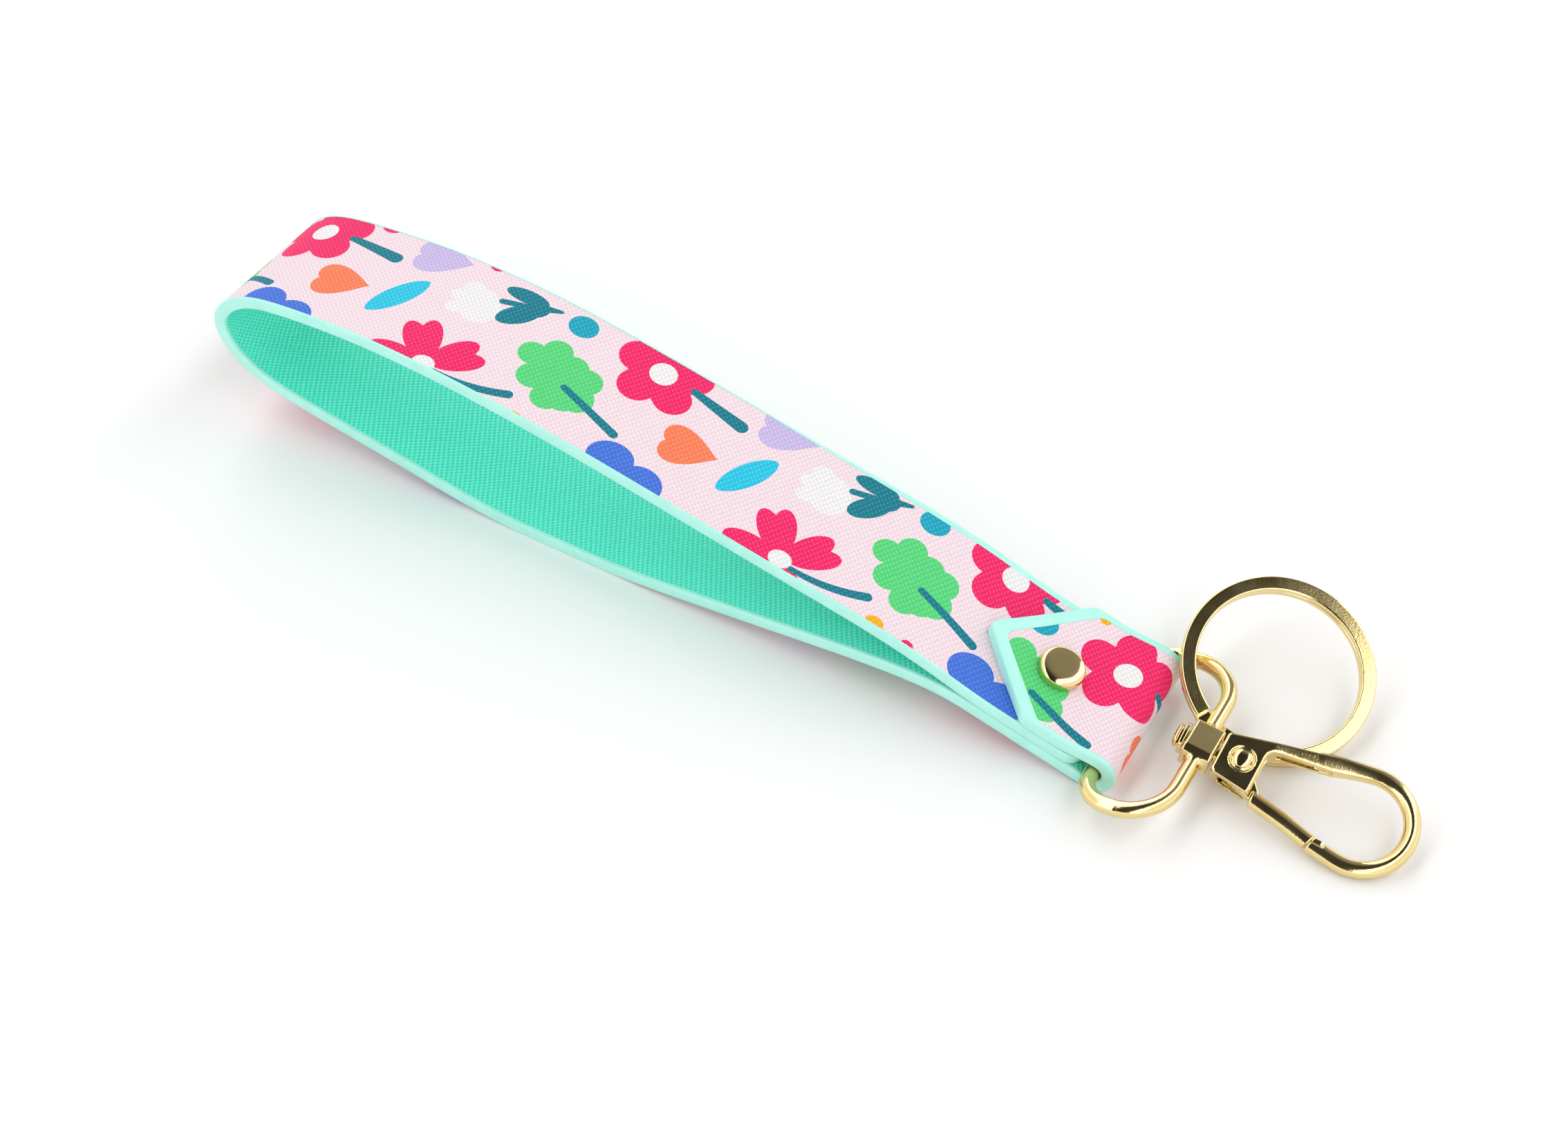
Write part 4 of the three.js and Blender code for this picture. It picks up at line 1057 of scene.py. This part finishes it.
def outline_distance(p, corners):
    """Distance in the XY plane to a polygon: the least distance to its sides, negative inside,
    where a point is inside if a ray from it crosses the sides an odd number of times."""
    corners = np.asarray(corners, float)
    x, y = p[:, 0], p[:, 1]
    nearest = np.full(len(p), np.inf)
    inside = np.zeros(len(p), bool)
    for (ax, ay), (bx, by) in zip(corners, np.roll(corners, -1, axis=0)):
        squared = (bx - ax) ** 2 + (by - ay) ** 2
        t = np.clip(((x - ax) * (bx - ax) + (y - ay) * (by - ay)) / squared, 0, 1)
        nearest = np.minimum(nearest, np.hypot(x - ax - t * (bx - ax), y - ay - t * (by - ay)))
        spans = (ay > y) != (by > y)
        reach = ax + (y - ay) * (bx - ax) / (by - ay if by != ay else 1)
        inside ^= spans & (x < reach)
    return np.where(inside, -nearest, nearest)


def pivot_reach(p):
    return np.hypot(p[:, 0] - GATE_PIVOT[0], p[:, 1] - GATE_PIVOT[1])


def bar_distance(p, line):
    """Distance to a line of straight segments in the XY plane."""
    nearest = np.full(len(p), np.inf)
    for a, b in zip(line[:-1], line[1:]):
        nearest = np.minimum(nearest, line_distance(p, (*a, 0), (*b, 0)))
    return nearest


FAR_LINE = smooth_run([(18.5, 7.2), (22, 8.0), (26, 8.73), (HOOK_CENTRE[0], FAR_ARM)],
                      (0.976, 0.218), (1, 0), 0.8)
NEAR_LINE = smooth_run([(HOOK_CENTRE[0], NEAR_ARM), (26, NEAR_ARM + 0.2), (21.5, NEAR_ARM + 0.85)],
                       (-1, 0), (-0.987, 0.16), 0.8)


def hook_distance(p):
    """Distance to the hook's bar: the far line, a half turn about the hook's centre, and the
    near line to the nose."""
    reach = np.hypot(p[:, 0] - HOOK_CENTRE[0], p[:, 1] - HOOK_CENTRE[1]) - HOOK_RADIUS
    bend = np.where(p[:, 0] > HOOK_CENTRE[0], np.hypot(reach, p[:, 2]), np.inf)
    lines = np.minimum(bar_distance(p, FAR_LINE), bar_distance(p, NEAR_LINE))
    return np.minimum(bend, lines) - HOOK_BAR


def clasp_distance(p):
    """Distance to the housing and arm, blended into the hook's bar, less the fork's slot, the
    bores, the ring round the gate pin, the arm's pocket, and the nose's recess and seam."""
    z = np.abs(p[:, 2])
    plan = outline_distance(p, PLAN)
    thin = np.clip((p[:, 0] - ARM_THIN_FROM) / (ARM_THIN_TO - ARM_THIN_FROM), 0, 1)
    half = HOUSING_HALF + (ARM_THIN_HALF - HOUSING_HALF) * thin
    block = smooth_max(plan, z - half, 0.5)
    block = smooth_max(block, p[:, 0] - HOOK_CENTRE[0], 0.8)
    slot = np.maximum.reduce([z - SLOT_HALF, SLOT_BACK - p[:, 0], p[:, 1] - SLOT_SIDE])
    block = smooth_max(block, -slot, 0.2)
    pocket_turn = np.array(Matrix.Rotation(POCKET_TURN, 3, "Z"))
    pocket = box_distance((p - POCKET_MIDDLE) @ pocket_turn, 0, POCKET_HALF, 0.1)
    block = smooth_max(block, -pocket, 0.15)
    seat = np.maximum(np.hypot(p[:, 1], p[:, 2]) - SHAFT_RADIUS - SWIVEL_GAP, p[:, 0] - SLOT_BACK - 1)
    block = smooth_max(block, -seat, 0.15)
    reach = pivot_reach(p)
    block = smooth_max(block, PIVOT_BORE - reach, 0.15)
    inner, outer, depth = PIN_GROOVE
    ring = np.maximum(np.abs(reach - (inner + outer) / 2) - (outer - inner) / 2,
                      HOUSING_HALF - depth - p[:, 2])
    block = smooth_max(block, -ring, 0.12)
    bar = hook_distance(p)
    near_side = np.maximum(np.abs(p[:, 0] - SEAM_X) - 7.5, p[:, 1] - NEAR_ARM - 2.5)
    bar = smooth_max(bar, -np.maximum(reach - SEAM_RADIUS, near_side), 0.15)
    recess = box_distance(p, (SEAM_X + 0.98, NEAR_ARM + 2.15, 0), (1.38, 1.45, 2.2), 0.1)
    bar = smooth_max(bar, -recess, 0.12)
    return smooth_min(block, bar, 0.8)


skin_points, skin_faces = cast_skin(
    clasp_distance, (3.0, NEAR_ARM - HOOK_BAR, -HOUSING_HALF),
    (HOOK_CENTRE[0] + HOOK_RADIUS + HOOK_BAR, FAR_ARM + HOOK_BAR, HOUSING_HALF))
clasp_body = mesh_piece("clasp_body_cast", placed(skin_points, clasp_row, clasp_axes), skin_faces,
                        cast_gold, 60)
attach(clasp_body, "clasp")
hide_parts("clasp_body")

# ---- gate: a hub that turns in the fork, a square root block, and a round bar to the nose ----
# A small zinc casting, gold plated, with a flat tongue that laps the hook's nose from inside and
# stops the gate from swinging out.

GATE_HALF = 1.0
GATE_HUB_RADIUS = 2.0
GATE_BAR = 1.4
GATE_CELL = 0.16
GATE_LINE = smooth_run([(10.8, -4.15), (16.2, -5.05), (25.0, -7.0)],
                       (0.986, -0.166), (0.976, -0.218), 0.8)
ROOT = [(5.3, -3.2), (11.6, -4.9), (11.6, -2.9), (8.2, 1.0), (5.3, 1.0)]
SPRING_POCKET_RADIUS = 1.75
TONGUE = ((SEAM_X + 0.7, NEAR_ARM + 1.45, 0), (1.3, 0.4, 0.8))


def gate_distance(p):
    """Distance to the flat hub and root, joined to a round bar that ends at the seam, and the
    tongue, less the pin's bore and the spring's pocket."""
    z = np.abs(p[:, 2])
    reach = pivot_reach(p)
    plan = smooth_min(reach - GATE_HUB_RADIUS, outline_distance(p, ROOT), 0.5)
    hub = smooth_max(plan, z - GATE_HALF, 0.25)
    bar = bar_distance(p, GATE_LINE) - GATE_BAR
    bar = smooth_max(bar, reach - SEAM_RADIUS + SWIVEL_GAP, 0.2)
    bar = smooth_max(bar, HOUSING_FRONT + 0.6 - p[:, 0], 0.3)
    solid = smooth_min(hub, bar, 0.25)
    solid = smooth_min(solid, box_distance(p, *TONGUE, 0.12), 0.15)
    solid = smooth_max(solid, PIVOT_BORE - reach, 0.15)
    pocket = np.maximum(reach - SPRING_POCKET_RADIUS, -p[:, 2])
    return smooth_max(solid, -pocket, 0.12)


skin_points, skin_faces = cast_skin(
    gate_distance, (4.6, NEAR_ARM - 1.2, -1.5), (SEAM_X + 3.4, 2.6, 1.5), GATE_CELL)
gate = mesh_piece("gate_cast", placed(skin_points, clasp_row, clasp_axes), skin_faces, cast_gold, 60)
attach(gate, "gate")
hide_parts("gate")

# ---- gate pin and spring: a headed pin peened to a dome, with a two-turn coil round it ----
# The pin is plated brass and holds the gate in the fork. The spring is plain steel wire, hidden in
# the hub's pocket, and pushes the gate shut.

DOME_RADIUS = 1.55
PIN_FACE = HOUSING_HALF + 0.1
GATE_PIN_RADIUS = 0.85
SPRING_RADIUS = 1.4
SPRING_WIRE = 0.17
SPRING_TURNS = 2
SPRING_LOW = 0.22
SPRING_PITCH = 0.4

gate_place = clasp_row + GATE_PIVOT[0] * clasp_x + GATE_PIVOT[1] * clasp_y
gate_pin_profile = np.concatenate([
    fillet([(0, -HOUSING_HALF - 0.5), (1.3, -HOUSING_HALF - 0.5), (1.5, -PIN_FACE),
            (GATE_PIN_RADIUS, -PIN_FACE), (GATE_PIN_RADIUS, PIN_FACE), (DOME_RADIUS, PIN_FACE)], 0.1),
    pillow(DOME_RADIUS, PIN_FACE, 0.5, 2.4, 16)[1:],
])
gate_pin = mesh_piece("gate_pin_peened", *turned(gate_pin_profile, gate_place, clasp_x, clasp_z),
                      polished_gold, 50)
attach(gate_pin, "clasp")
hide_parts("gate_pin")


def swept(line, across, up, section):
    """A bar along a line: section points (a, b) stand at a across and b up, closed by flat ends."""
    grid = line[:, None] + section[:, 0, None] * across[:, None] + section[:, 1, None] * up[:, None]
    rows, columns = grid.shape[:2]
    faces = wound_faces(rows, columns, False).tolist()
    faces.append(list(range(columns))[::-1])
    faces.append(list(range((rows - 1) * columns, rows * columns)))
    return grid.reshape(-1, 3), faces


# Drawn spring steel: grey and smooth, with fine lines round the wire.
steel, tree = material("drawn_spring_steel")
place = add(tree, "TexCoord").outputs["Object"]
streaks = add(tree, "TexNoise", {"Vector": place}, in_Scale=5000.0, in_Detail=2.0)
dull = add(tree, "MapRange", {"Value": streaks}, in_To_Min=0.22, in_To_Max=0.4)
wire = add(tree, "BsdfPrincipled", {"Roughness": dull},
           in_Base_Color=linear("#A9ABAE"), in_Metallic=1.0)
add(tree, "OutputMaterial", {"Surface": wire})

coil_turn = np.linspace(0, 2 * math.pi * SPRING_TURNS, 48 * SPRING_TURNS)
coil_out = np.stack([np.cos(coil_turn), np.sin(coil_turn), 0 * coil_turn], 1)
coil_rise = SPRING_LOW + SPRING_PITCH * coil_turn / (2 * math.pi)
coil_line = SPRING_RADIUS * coil_out + np.outer(coil_rise, (0, 0, 1))
wire_turn = -np.linspace(0, 2 * math.pi, 14, endpoint=False)
wire_section = SPRING_WIRE * np.stack([np.cos(wire_turn), np.sin(wire_turn)], 1)
coil_points, coil_faces = swept(coil_line, coil_out, 0 * coil_out + (0, 0, 1), wire_section)
gate_spring = mesh_piece("gate_spring_coil", placed(coil_points, gate_place, clasp_axes),
                         coil_faces, steel)
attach(gate_spring, "clasp")
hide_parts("gate_spring")

# ---- key ring: flat wire wound twice, its two turns joined by a short slope at the cut ----
# Pressed steel ring, gold plated and tumbled, so its edges are slightly round. It hangs on the
# bail's far side and leans on it.

RING_OUTER = 16.5
RING_WIDTH = 2.5
RING_COIL = 1.2
RING_EDGE = 0.28
RING_TILT = math.radians(21.5)
RING_CUT = math.radians(204)
SLOPE_SHARE = 0.07
RING_STEPS = 200
ring_row = joint_place("key_ring_tilt")
ring_heading = np.array(joints["key_ring_tilt"]["axis"])
ring_axes = turned_axes(("z", math.atan2(ring_heading[1], ring_heading[0])), ("x", RING_TILT))

ring_turns = np.linspace(0, 2 - SLOPE_SHARE - 1 / 60, int((2 - SLOPE_SHARE) * RING_STEPS))
ring_angle = RING_CUT - 2 * math.pi * ring_turns
ring_lift = RING_COIL / 2 + 0.03
ring_rise = ring_lift * (1 - 2 * eased((ring_turns - 1 + SLOPE_SHARE) / SLOPE_SHARE))
ring_out = np.stack([np.cos(ring_angle), np.sin(ring_angle), 0 * ring_angle], 1)
ring_line = (RING_OUTER - RING_WIDTH / 2) * ring_out + np.outer(ring_rise, (0, 0, 1))
half_a, half_b = RING_WIDTH / 2, RING_COIL / 2
edge_turn = np.linspace(0, math.pi / 2, 5)
edge_arc = RING_EDGE * np.stack([np.cos(edge_turn), np.sin(edge_turn)], 1)
ring_section = np.concatenate([
    (half_a - RING_EDGE, half_b - RING_EDGE) + edge_arc,
    (-half_a + RING_EDGE, half_b - RING_EDGE) + edge_arc[::-1] * (-1, 1),
    (-half_a + RING_EDGE, -half_b + RING_EDGE) - edge_arc,
    (half_a - RING_EDGE, -half_b + RING_EDGE) + edge_arc[::-1] * (1, -1),
])
ring_section = shouldered(ring_section, True)
ring_points, ring_faces = swept(ring_line, ring_out, 0 * ring_out + (0, 0, 1), ring_section)
key_ring = mesh_piece("key_ring_wound", placed(ring_points, ring_row, ring_axes), ring_faces,
                      polished_gold, 35)
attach(key_ring, "key_ring")
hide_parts("key_ring")

low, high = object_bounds()
